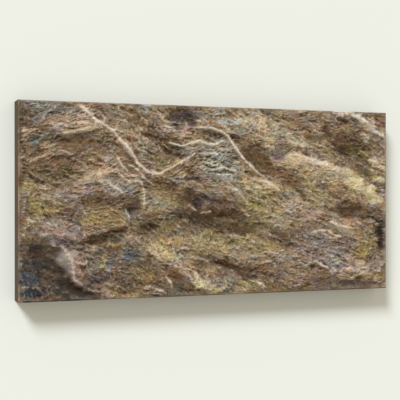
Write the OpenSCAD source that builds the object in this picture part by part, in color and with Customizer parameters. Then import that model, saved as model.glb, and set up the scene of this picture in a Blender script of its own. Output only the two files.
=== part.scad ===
/* [Tile] */
// Length of the tile along the wall
tile_length = 625; // [400:5:800]
// Height of one course, the tile's short side
tile_height = 300; // [200:5:400]
// Thickness of the plain side faces, from the bonding face to the arris
side_thickness = 36; // [24:1:60]
// Chamfer along the front arrises
arris = 1.5; // [0.8:0.1:3]

/* [Rock face] */
// Height of the rock's forms, as a share of the drawn heights
relief_share = 1; // [0.4:0.1:1.4]
// Width of the strip inside each arris where the rock dies down to a level edge
border = 8; // [6:1:30]
// How far the outlines of the main forms are bent out of true
bend = 7; // [0:0.5:12]
// Depth of the rough grain between the main forms
grain_depth = 1.9; // [0:0.1:2.5]
// Spacing of the coarsest lumps across the grain
grain_size = 30; // [20:1:60]
// Direction of the grain, in degrees from the tile's length
grain_turn = -18; // [-60:1:60]
// Which of the many possible grains is cast
grain_seed = 7; // [1:1:99]
// Width of one facet of the rock face
facet = 7; // [7:0.5:16]

/* [Hidden] */

// The rock face is drawn on a master face of this size and stretched to the tile
master = [625, 300];
// Spacing of the bends in the outlines, and how much the grain is drawn out along its direction
bend_size = 38;
grain_stretch = 0.6;

// Mounds and hollows: [place], half length, half width, turn in degrees, height
swells = [
    [[150, 60], 52, 17, -6, 5.5],       // pale mound, near end
    [[225, 42], 46, 17, -24, 5],        // pale mound, middle
    [[280, 14], 36, 13, -38, 4.5],      // pale mound, far end
    [[130, -75], 115, 32, -10, 2],      // broad slope below it
    [[252, -19], 42, 13, -8, -7],       // undercut of the mound
    [[232, 98], 44, 24, -14, -6],       // hollow above the mound
    [[272, 52], 32, 14, -28, -5],       // dip behind the mound's far end
    [[304, -60], 15, 30, 0, -7],        // hollow at the right edge
    [[292, 66], 14, 8, -15, 2.5],       // lump at the right edge
    [[192, 134], 16, 10, -20, 2.5],     // lump at the upper edge
    [[235, -48], 44, 12, -14, 3],       // ledge under the undercut
    [[235, -140], 62, 10, 0, -4.5],     // undercut at the lower edge
    [[262, -116], 36, 9, -8, 3.5],      // pale lump above it
    [[172, -112], 10, 8, 0, -3],        // pit beside the lump
    [[272, -80], 14, 20, 0, 2.5],       // ochre boss
    [[90, 64], 34, 18, -30, -8],        // hollow behind the right crest
    [[6, 60], 34, 30, -8, 2.5],         // layered slate panel
    [[5, 103], 15, 7, -5, -4],          // pocket under the arch
    [[-38, 35], 15, 5, -4, -3],         // notch below the slate panel
    [[-38, 4], 32, 18, -8, -7],         // deep end of the middle hollow
    [[4, -28], 58, 17, -8, -7.5],       // wide hollow in the middle
    [[66, -46], 34, 10, -8, -3],        // its shallow end
    [[82, 20], 38, 14, -16, 4],         // ochre shoulder
    [[-20, -68], 92, 18, -6, 4.5],      // long slope under the hollow
    [[44, -110], 56, 10, -14, -5.5],    // trough low in the middle
    [[-22, -128], 30, 13, -30, 4],      // yellow shoulder
    [[-88, -84], 30, 9, -18, 3],        // pale shoulder
    [[-56, -138], 16, 12, -10, -3.5],   // dip at the lower edge
    [[-52, 133], 24, 15, -10, -6],      // dark pit at the upper edge
    [[-74, 84], 40, 9, -32, -4],        // slanting furrow
    [[-72, 106], 22, 12, -8, 2],        // lump above the furrow
    [[42, 122], 26, 13, -10, 2.5],      // grey lump at the upper edge
    [[100, -4], 34, 12, -20, 1.5],      // low swell in the middle
    [[-208, 90], 46, 9, 4, -5.5],       // hollow under the brow
    [[-240, 114], 36, 10, 3, 2.5],      // brow
    [[-270, 42], 36, 15, -6, -5],       // dark hollow at the left
    [[-198, 36], 30, 6, 14, 2.5],       // band above the plateau
    [[-172, 18], 44, 15, 4, 4.5],       // lilac plateau
    [[-137, -9], 17, 11, 0, -5.5],      // step at the plateau's end
    [[-180, -28], 34, 14, -4, 4.5],     // ochre bulge
    [[-172, -54], 38, 7, 5, -6],        // undercut below the bulge
    [[-250, -44], 44, 16, -14, 5.5],    // lilac bulge
    [[-274, -86], 24, 26, 12, -8.5],    // deep hollow, upper part
    [[-230, -128], 44, 20, -36, -8],    // deep hollow, lower part
    [[-236, -86], 17, 14, -30, 3.5],    // boss beside the deep hollow
    [[-108, -41], 22, 10, 0, -6],       // pit beside the ochre bulge
    [[-98, 4], 24, 16, 0, 2],           // greenish swell
    [[-288, -26], 18, 10, 0, 2],        // yellow lump at the left edge
];

// Crests: points along the line, half width, height
crests = [
    [[[-226, 147], [-200, 125], [-177, 112], [-150, 85], [-133, 60], [-118, 46]], 9, 5],
    [[[-118, 46], [-98, 40], [-72, 53], [-38, 74]], 8, 3],
    [[[-85, 91], [-60, 86], [-28, 96], [-6, 88], [13, 96]], 6, 2.5],
    [[[-48, 115], [-8, 116], [18, 104], [32, 82], [55, 57], [84, 37], [108, 20]], 8, 5],
    [[[-312, 103], [-250, 101], [-228, 104], [-198, 112]], 8, 3],
    [[[-128, 30], [-122, 20], [-119, -12]], 6, 4],
    [[[-250, -66], [-234, -88], [-229, -118], [-205, -134], [-184, -150]], 9, 6],
    [[[-110, -78], [-88, -96], [-48, -108], [-42, -130]], 8, 3.5],
    [[[12, 24], [38, 14], [56, -8]], 8, 3],
    [[[215, 150], [262, 138], [312, 112]], 10, 3.5],
    [[[175, -100], [205, -118], [222, -124]], 7, 2.5],
];

cells = [max(8, round(tile_length / facet)), max(6, round(tile_height / facet))];
face = [tile_length, tile_height];

function smooth(t) = let (c = min(1, max(0, t))) c * c * (3 - 2 * c);
function turned(v, a) = [v.x * cos(a) + v.y * sin(a), v.y * cos(a) - v.x * sin(a)];

// A rounded mound, 1 at its middle and near 0 beyond its half sizes
function mound(p, swell) =
    let (d = turned(p - swell[0], swell[3]))
    exp(-pow(d.x / swell[1], 2) - pow(d.y / swell[2], 2)) * swell[4];

// Distance from a point to one straight stretch of a crest
function stretch_distance(p, a, b) =
    let (along = b - a, t = min(1, max(0, (p - a) * along / (along * along))))
    norm(p - a - t * along);

// A crest with a sharp top and hollow flanks
function crest(p, line) =
    let (
        points = line[0],
        away = min([for (i = [1:len(points) - 1]) stretch_distance(p, points[i - 1], points[i])])
    )
    exp(-away / line[1]) * line[2];

// Seeded noise from -1 to 1: a chance value at each lattice point, blended smoothly between
function chance(i, j, seed) =
    let (wave = sin(i * 127.1 + j * 311.7 + seed * 74.7) * 43758.5453)
    2 * (wave - floor(wave)) - 1;
function noise(q, seed) =
    let (i = floor(q.x), j = floor(q.y), u = smooth(q.x - i), v = smooth(q.y - j))
    (chance(i, j, seed) * (1 - u) + chance(i + 1, j, seed) * u) * (1 - v)
    + (chance(i, j + 1, seed) * (1 - u) + chance(i + 1, j + 1, seed) * u) * v;

// Lumps with folds between them, drawn out along the grain
function grain(p) =
    let (
        d = turned(p, grain_turn),
        q = [d.x * grain_stretch, d.y] / grain_size,
        lumps = noise(q, grain_seed),
        folds = 0.6 - 2 * abs(noise(2 * q, grain_seed + 3))
    )
    grain_depth * (lumps + 0.6 * folds);

// A place moved a little, so that the forms get the bent outlines of broken stone
function bent(p) =
    p + bend * [noise(p / bend_size, grain_seed + 1), noise(p / bend_size, grain_seed + 2)];

// Height of the rock above the level of the arris, at a place measured from the tile's middle
function rock(p) =
    let (
        drawn = [p.x * master.x / face.x, p.y * master.y / face.y],
        place = bent(drawn),
        forms = [for (s = swells) mound(place, s)] * [for (s = swells) 1],
        lines = [for (c = crests) crest(drawn, c)] * [for (c = crests) 1]
    )
    relief_share * (forms + lines) + grain(drawn);

// 0 at the arris and 1 where the border strip ends
function inside(p) =
    smooth((face.x / 2 - arris - abs(p.x)) / border)
    * smooth((face.y / 2 - arris - abs(p.y)) / border);

// Grid lines across one side: the outer edge, the inner line of the chamfer, then even cells
function grid_lines(size, count) =
    let (half = size / 2, level = half - arris)
    concat(-half, [for (i = [0:count]) -level + 2 * level * i / count], half);

// The tile as it lies on its bonding face: one closed casting
module cladding_tile() {
    xs = grid_lines(face.x, cells.x);
    ys = grid_lines(face.y, cells.y);
    nx = len(xs);
    ny = len(ys);
    top = [
        for (j = [0:ny - 1]) for (i = [0:nx - 1])
            let (
                outer = i == 0 || j == 0 || i == nx - 1 || j == ny - 1,
                p = [xs[i], ys[j]],
                drop = outer ? -arris : rock(p) * inside(p)
            )
            [p.x, p.y, side_thickness + drop]
    ];
    corners = [
        for (c = [[-1, -1], [1, -1], [1, 1], [-1, 1]]) [c.x * face.x / 2, c.y * face.y / 2, 0]
    ];
    first = nx * ny;
    rock_faces = [
        for (j = [0:ny - 2]) for (i = [0:nx - 2])
            let (
                a = j * nx + i,
                b = a + 1,
                c = a + nx,
                d = c + 1,
                // each quarter splits its cells towards its own corner, so the chamfers mitre
                to_corner = (xs[i] + xs[i + 1]) * (ys[j] + ys[j + 1]) > 0
            )
            each to_corner ? [[a, d, b], [a, c, d]] : [[a, c, b], [b, c, d]]
    ];
    side_faces = [
        [first, for (i = [0:nx - 1]) i, first + 1],
        [first + 1, for (j = [0:ny - 1]) j * nx + nx - 1, first + 2],
        [first + 2, for (i = [nx - 1:-1:0]) (ny - 1) * nx + i, first + 3],
        [first + 3, for (j = [ny - 1:-1:0]) j * nx, first],
    ];
    bonding_face = [[first, first + 1, first + 2, first + 3]];
    color([0.50, 0.43, 0.33])
        polyhedron(concat(top, corners), concat(rock_faces, side_faces, bonding_face), convexity = 6);
}

cladding_tile();
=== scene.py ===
"""Faux stone cladding tile lying on its bonding face: visual model, finishes, light and camera."""

from __future__ import annotations

import logging
from abc import ABC, abstractmethod
from dataclasses import dataclass, field
from enum import Enum
from typing import Any, ClassVar, Sequence

import bpy
import numpy as np
from mathutils import Matrix, Vector

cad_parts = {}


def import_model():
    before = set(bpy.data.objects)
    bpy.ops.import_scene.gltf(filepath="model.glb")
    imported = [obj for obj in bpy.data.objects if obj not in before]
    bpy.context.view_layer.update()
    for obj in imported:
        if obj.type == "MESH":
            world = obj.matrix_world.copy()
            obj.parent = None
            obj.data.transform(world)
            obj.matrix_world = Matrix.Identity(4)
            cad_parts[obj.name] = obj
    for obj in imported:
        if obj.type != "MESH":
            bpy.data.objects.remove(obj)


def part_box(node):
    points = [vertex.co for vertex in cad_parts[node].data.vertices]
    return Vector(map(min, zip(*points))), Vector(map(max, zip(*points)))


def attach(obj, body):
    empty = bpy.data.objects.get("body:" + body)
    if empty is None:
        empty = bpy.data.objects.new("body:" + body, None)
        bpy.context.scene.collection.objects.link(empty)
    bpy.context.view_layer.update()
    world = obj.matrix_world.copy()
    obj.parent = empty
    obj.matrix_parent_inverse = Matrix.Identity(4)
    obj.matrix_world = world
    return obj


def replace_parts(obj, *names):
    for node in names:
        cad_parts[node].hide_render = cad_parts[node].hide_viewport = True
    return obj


LOG = logging.getLogger("tile")
MM = 0.001

Point = tuple[float, float]
Triple = tuple[float, float, float]
Quad = tuple[float, float, float, float]
Grid = np.ndarray
Socket = bpy.types.NodeSocket


class Swatch(Enum):
    """The stone's stains and its painted shade and light, as sRGB values from 0 to 255."""

    UMBER = (90, 73, 58)
    BROWN = (120, 99, 80)
    TAN = (164, 144, 119)
    SAND = (192, 170, 140)
    CREAM = (224, 206, 184)
    CHALK = (230, 221, 204)
    STRAW = (206, 190, 152)
    OCHRE = (152, 130, 84)
    OLIVE = (122, 112, 80)
    MOSS = (92, 80, 48)
    LIME = (148, 138, 84)
    LILAC = (140, 124, 118)
    PLUM = (84, 68, 64)
    BARK = (64, 48, 33)
    EARTH = (96, 73, 51)
    GOLD = (172, 148, 108)
    FAWN = (182, 158, 138)
    GREIGE = (150, 141, 124)
    KHAKI = (158, 142, 98)
    SLATE = (128, 123, 108)
    SKY = (168, 166, 155)
    BLUE = (86, 89, 92)
    RUST = (146, 101, 72)
    PINK = (180, 150, 134)
    # dark brown for painted shade in hollows, cracks, under ledges and along edges, partly a dark
    # wash
    SHADE_WASH = (54, 46, 40)
    NIGHT = (42, 44, 48)

    @property
    def linear(self) -> Grid:
        """The swatch as scene-linear red, green and blue."""
        c = np.array(self.value, float) / 255.0
        return np.where(c <= 0.04045, c / 12.92, ((c + 0.055) / 1.055) ** 2.4)

    def laid_over(self, colour: Grid, cover: Grid) -> Grid:
        """Lays the swatch over a grid of colours, with a cover from 0 to 1 at each place."""
        cover = cover[..., None]
        return colour * (1 - cover) + self.linear * cover


def smooth(t: Grid) -> Grid:
    """Eases t from 0 to 1 and holds it there outside."""
    t = np.clip(t, 0.0, 1.0)
    return t * t * (3.0 - 2.0 * t)


def softened(values: Grid, rounds: int) -> Grid:
    """Blurs a grid by taking the mean of each cell and its neighbours again and again.

    Args:
        values: The grid.
        rounds: How often.

    Returns:
        The blurred grid, of the same size.
    """
    for _ in range(rounds):
        v = np.pad(values, 1, mode="edge")
        around = v[:-2, 1:-1] + v[2:, 1:-1] + v[1:-1, :-2] + v[1:-1, 2:]
        values = 0.5 * values + 0.125 * around
    return values


def combed(values: Grid, turn: Grid, steps: int) -> Grid:
    """Draws a grid's values out along lines that run in given directions.

    Args:
        values: The grid to draw out.
        turn: Direction at each cell, in radians from the first axis.
        steps: How many cells each value is drawn out, both ways.

    Returns:
        The drawn-out grid, with mean 0 and standard deviation 1.
    """
    last_row, last_column = values.shape[0] - 1.001, values.shape[1] - 1.001
    ahead, up = np.cos(turn), np.sin(turn)
    total = values.copy()
    for way in (1.0, -1.0):
        row, column = np.indices(values.shape).astype(float)
        for _ in range(steps):
            near = row.round().astype(int), column.round().astype(int)
            row = np.clip(row + way * up[near], 0, last_row)
            column = np.clip(column + way * ahead[near], 0, last_column)
            r, c = row.astype(int), column.astype(int)
            v, u = row - r, column - c
            low = values[r, c] * (1 - u) + values[r, c + 1] * u
            high = values[r + 1, c] * (1 - u) + values[r + 1, c + 1] * u
            total += low * (1 - v) + high * v
    return (total - total.mean()) / total.std()


@dataclass(frozen=True)
class LatticeNoise:
    """Smooth seeded noise over the plane, from -1 to 1."""

    SPREAD: ClassVar[float] = 1.6

    seed: int

    def _corner(self, i: Grid, j: Grid) -> Grid:
        """The chance value of each lattice point, from -1 to 1."""
        wave = np.sin(np.radians(i * 127.1 + j * 311.7 + self.seed * 74.7)) * 43758.5453
        return 2.0 * (wave - np.floor(wave)) - 1.0

    def at(self, x: Grid, y: Grid) -> Grid:
        """Noise at places measured in lattice cells.

        Args:
            x: Places along the first axis.
            y: Places along the second axis.

        Returns:
            The noise at each place.
        """
        i, j = np.floor(x), np.floor(y)
        u, v = smooth(x - i), smooth(y - j)
        low = self._corner(i, j) * (1 - u) + self._corner(i + 1, j) * u
        high = self._corner(i, j + 1) * (1 - u) + self._corner(i + 1, j + 1) * u
        return low * (1 - v) + high * v

    def layered(self, x: Grid, y: Grid, octaves: int, gain: float) -> Grid:
        """Several layers of the noise, each half the size of the one before.

        Args:
            x: Places along the first axis, in cells of the coarsest layer.
            y: Places along the second axis.
            octaves: How many layers.
            gain: Strength of each layer as a share of the one before.

        Returns:
            The summed noise, about -1 to 1.
        """
        total, share, norm = np.zeros_like(x), 1.0, 0.0
        for k in range(octaves):
            f = 2.0**k
            total += share * self.at(x * f + 17.3 * k, y * f - 9.1 * k)
            norm += share
            share *= gain
        return total / norm * self.SPREAD


@dataclass(frozen=True)
class Mottle:
    """Layered noise over the face: its seed, coarsest size in millimetres and layers."""

    seed: int
    size_x: float
    size_y: float
    octaves: int
    gain: float = 0.55

    def over(self, x: Grid, y: Grid) -> Grid:
        """The noise at places on the face in millimetres, about -1 to 1."""
        noise = LatticeNoise(self.seed)
        return noise.layered(x / self.size_x, y / self.size_y, self.octaves, self.gain)


@dataclass(frozen=True)
class Spot:
    """An oval place on the face, in millimetres and degrees."""

    x: float
    y: float
    half_length: float
    half_width: float
    turn: float = 0.0

    def squared_distance(self, x: Grid, y: Grid) -> Grid:
        """Distance from the middle, squared, with 1 on the oval's outline.

        Args:
            x: Places along the face.
            y: Places up the face.

        Returns:
            The squared distance at each place.
        """
        a = np.radians(self.turn)
        dx, dy = x - self.x, y - self.y
        u = (dx * np.cos(a) + dy * np.sin(a)) / self.half_length
        v = (dy * np.cos(a) - dx * np.sin(a)) / self.half_width
        return u * u + v * v


@dataclass(frozen=True)
class Swell:
    """A mound, or a hollow where its height is below 0."""

    spot: Spot
    height: float

    @classmethod
    def row(cls, x: float, y: float, rx: float, ry: float, turn: float, height: float) -> Swell:
        """Reads one row of the table of swells."""
        return cls(Spot(x, y, rx, ry, turn), height)

    def lift(self, x: Grid, y: Grid) -> Grid:
        """Height that the swell adds at each place, in millimetres."""
        return self.height * np.exp(-self.spot.squared_distance(x, y))


@dataclass(frozen=True)
class Trail:
    """A line through given points, in millimetres."""

    TAPER_LENGTH: ClassVar[float] = 9.0

    points: tuple[Point, ...]

    def measure(self, x: Grid, y: Grid) -> tuple[Grid, Grid]:
        """Distance to the line and how far along it the nearest point lies.

        Args:
            x: Places along the face.
            y: Places up the face.

        Returns:
            The distance, and the taper: 0 at the line's ends and 1 between.
        """
        away = np.full(x.shape, np.inf)
        along = np.zeros(x.shape)
        start = 0.0
        for (ax, ay), (bx, by) in zip(self.points, self.points[1:]):
            length = float(np.hypot(bx - ax, by - ay))
            ux, uy = (bx - ax) / length, (by - ay) / length
            t = np.clip((x - ax) * ux + (y - ay) * uy, 0.0, length)
            d = np.hypot(x - ax - t * ux, y - ay - t * uy)
            nearer = d < away
            away = np.where(nearer, d, away)
            along = np.where(nearer, start + t, along)
            start += length
        return away, smooth(np.minimum(along, start - along) / self.TAPER_LENGTH + 0.3)


@dataclass(frozen=True)
class Crest:
    """A sharp ridge with hollow flanks."""

    trail: Trail
    half_width: float
    height: float

    @classmethod
    def row(cls, half_width: float, height: float, *points: Point) -> Crest:
        """Reads one row of the table of crests."""
        return cls(Trail(points), half_width, height)

    def lift(self, x: Grid, y: Grid) -> Grid:
        """Height that the crest adds at each place, in millimetres."""
        away, _ = self.trail.measure(x, y)
        return self.height * np.exp(-away / self.half_width)


@dataclass(frozen=True)
class Stain:
    """A patch of colour with a broken outline."""

    spot: Spot
    swatch: Swatch
    strength: float

    @classmethod
    def row(cls, swatch: Swatch, strength: float, *spot: float) -> Stain:
        """Reads one row of a table of stains."""
        return cls(Spot(*spot), swatch, strength)

    def cover(self, x: Grid, y: Grid, ragged: Grid) -> Grid:
        """How much of the stain shows at each place, from 0 to 1, with noise for its outline."""
        reach = 1.0 - self.spot.squared_distance(x, y)
        return self.strength * smooth(0.34 + 0.62 * reach + 0.45 * ragged)


@dataclass(frozen=True)
class Streak:
    """A line of colour: dust on a thin crest, or the dark of a crack, which is painted shade."""

    # the dark swatches of the cracks paint shade into them
    CRACK_SWATCHES: ClassVar[tuple[Swatch, ...]] = (Swatch.SHADE_WASH, Swatch.BARK)
    CRACK_LIFT: ClassVar[float] = -1.6
    CREST_LIFT: ClassVar[float] = 1.3
    WIDEST_LIFTED: ClassVar[float] = 4.2
    CLEAR_REACH: ClassVar[float] = 2.8
    CLEAR_STRENGTH: ClassVar[float] = 0.8

    trail: Trail
    half_width: float
    swatch: Swatch
    strength: float

    @classmethod
    def row(cls, swatch: Swatch, strength: float, half_width: float, *points: Point) -> Streak:
        """Reads one row of the table of streaks."""
        return cls(Trail(points), half_width, swatch, strength)

    def cover(self, x: Grid, y: Grid, ragged: Grid) -> Grid:
        """How much of the streak shows.

        Args:
            x: Places along the face.
            y: Places up the face.
            ragged: Noise that breaks the line and varies its width.

        Returns:
            The cover at each place, from 0 to 1.
        """
        away, taper = self.trail.measure(x, y)
        width = np.maximum(self.half_width * (0.9 + 0.5 * ragged), 0.4)
        broken = 0.4 + 0.6 * self.strength + (1.3 - self.strength) * ragged
        across = np.exp(-((away / width) ** 2))
        return np.clip(self.strength * taper * np.clip(broken, 0.0, 1.1) * across, 0.0, 1.0)

    def lift(self, x: Grid, y: Grid) -> Grid:
        """Height of the thin crest under a pale streak, or depth of the crack under a dark one.

        Args:
            x: Places along the face.
            y: Places up the face.

        Returns:
            The height at each place, in millimetres, below 0 in a crack.
        """
        if self.half_width > self.WIDEST_LIFTED:
            return np.zeros(x.shape)
        away, taper = self.trail.measure(x, y)
        rise = self.CRACK_LIFT if self.swatch in self.CRACK_SWATCHES else self.CREST_LIFT
        return rise * self.strength * taper * np.exp(-away / (1.2 * self.half_width + 0.6))

    def clearing(self, x: Grid, y: Grid) -> Grid | float:
        """Share of the fine relief that a strong streak leaves beside it.

        Args:
            x: Places along the face.
            y: Places up the face.

        Returns:
            The share at each place, or 1 for a faint streak.
        """
        if self.strength < self.CLEAR_STRENGTH:
            return 1.0
        away, taper = self.trail.measure(x, y)
        return 1.0 - 0.8 * taper * np.exp(-((away / self.CLEAR_REACH) ** 2))


@dataclass(frozen=True)
class Grain:
    """A place where the stone's fine lines run one way, in millimetres and degrees."""

    x: float
    y: float
    reach: float
    turn: float


@dataclass(frozen=True)
class Wear:
    """A place where the fine relief is smoother, or coarser where its share is over 1."""

    spot: Spot
    share: float

    @classmethod
    def row(cls, share: float, *spot: float) -> Wear:
        """Reads one row of the table of wear."""
        return cls(Spot(*spot), share)


S = Swatch

# noise of the stains: broad tone, bent outlines, broken outlines, and swings of hue and light
TONE = Mottle(21, 46, 24, 5)
BEND_ALONG, BEND_UP = Mottle(31, 24, 24, 3), Mottle(32, 24, 24, 3)
RAGGED = Mottle(33, 15, 8, 3)
WARM, GREEN = Mottle(51, 16, 9, 2, 0.5), Mottle(52, 13, 9, 2, 0.45)
LIGHT = Mottle(53, 9, 5, 4, 0.85)
WARM_HUE, GREEN_HUE = np.array([1.0, 0.0, -1.8]), np.array([-1.0, 0.6, -0.4])

# noise of the thin lines: how they are shaken and broken, and how the combed lines swing
SHAKE_ALONG, SHAKE_UP = Mottle(41, 9, 9, 3, 0.75), Mottle(42, 9, 9, 3, 0.75)
BREAKS = Mottle(43, 5, 5, 3, 0.7)
COMB_SWING = Mottle(61, 24, 24, 2)

# last correction of the tint: weights of the grey, gain of the colour, balance, darkest value
GREY_WEIGHTS = np.array([[0.2126], [0.7152], [0.0722]])
COLOUR_GAIN = 1.12
COLOUR_BALANCE = np.array([0.98, 1.0, 1.07])
DARKEST = 0.004

# mounds and hollows: place, half sizes, turn in degrees and height
SWELLS: tuple[Swell, ...] = tuple(Swell.row(*row) for row in (
    # right: the long pale mound, its undercut and the hollows round it
    (150, 60, 52, 17, -6, 5.5), (225, 42, 46, 17, -24, 5.0), (280, 14, 36, 13, -38, 4.5),
    (130, -75, 115, 32, -10, 2.0), (252, -19, 42, 13, -8, -7.0), (232, 98, 44, 24, -14, -6.0),
    (272, 52, 32, 14, -28, -5.0), (304, -60, 15, 30, 0, -7.0), (292, 66, 14, 8, -15, 2.5),
    (192, 134, 16, 10, -20, 2.5), (235, -48, 44, 12, -14, 3.0), (235, -140, 62, 10, 0, -4.5),
    (262, -116, 36, 9, -8, 3.5), (172, -112, 10, 8, 0, -3.0), (272, -80, 14, 20, 0, 2.5),
    # middle: the slate panel, the wide dark hollow and the slope below it
    (90, 64, 34, 18, -30, -8.0), (6, 60, 34, 30, -8, 2.5), (5, 103, 15, 7, -5, -4.0),
    (-38, 35, 15, 5, -4, -3.0), (-38, 4, 32, 18, -8, -7.0), (4, -28, 58, 17, -8, -7.5),
    (66, -46, 34, 10, -8, -3.0), (82, 20, 38, 14, -16, 4.0), (-20, -68, 92, 18, -6, 4.5),
    (44, -110, 56, 10, -14, -5.5), (-22, -128, 30, 13, -30, 4.0), (-88, -84, 30, 9, -18, 3.0),
    (-56, -138, 16, 12, -10, -3.5), (-52, 133, 24, 15, -10, -6.0), (-74, 84, 40, 9, -32, -4.0),
    (-72, 106, 22, 12, -8, 2.0), (42, 122, 26, 13, -10, 2.5), (100, -4, 34, 12, -20, 1.5),
    # left: the brow, the plateau, the bulges and the deep hollow
    (-208, 90, 46, 9, 4, -5.5), (-240, 114, 36, 10, 3, 2.5), (-270, 42, 36, 15, -6, -5.0),
    (-198, 36, 30, 6, 14, 2.5), (-172, 18, 44, 15, 4, 4.5), (-137, -9, 17, 11, 0, -5.5),
    (-180, -28, 34, 14, -4, 4.5), (-172, -54, 38, 7, 5, -6.0), (-250, -44, 44, 16, -14, 5.5),
    (-274, -86, 24, 26, 12, -8.5), (-230, -128, 44, 20, -36, -8.0), (-236, -86, 17, 14, -30, 3.5),
    (-108, -41, 22, 10, 0, -6.0), (-98, 4, 24, 16, 0, 2.0), (-288, -26, 18, 10, 0, 2.0),
))

# sharp ridges: half width, height and points
CRESTS: tuple[Crest, ...] = tuple(Crest.row(*row) for row in (
    (9, 5, (-226, 147), (-200, 125), (-177, 112), (-150, 85), (-133, 60), (-118, 46)),
    (8, 3, (-118, 46), (-98, 40), (-72, 53), (-38, 74)),
    (6, 2.5, (-85, 91), (-60, 86), (-28, 96), (-6, 88), (13, 96)),
    (8, 5, (-48, 115), (-8, 116), (18, 104), (32, 82), (55, 57), (84, 37), (108, 20)),
    (8, 3, (-312, 103), (-250, 101), (-228, 104), (-198, 112)),
    (6, 4, (-128, 30), (-122, 20), (-119, -12)),
    (9, 6, (-250, -66), (-234, -88), (-229, -118), (-205, -134), (-184, -150)),
    (8, 3.5, (-110, -78), (-88, -96), (-48, -108), (-42, -130)),
    (8, 3, (12, 24), (38, 14), (56, -8)), (10, 3.5, (215, 150), (262, 138), (312, 112)),
    (7, 2.5, (175, -100), (205, -118), (222, -124)),
))
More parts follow.
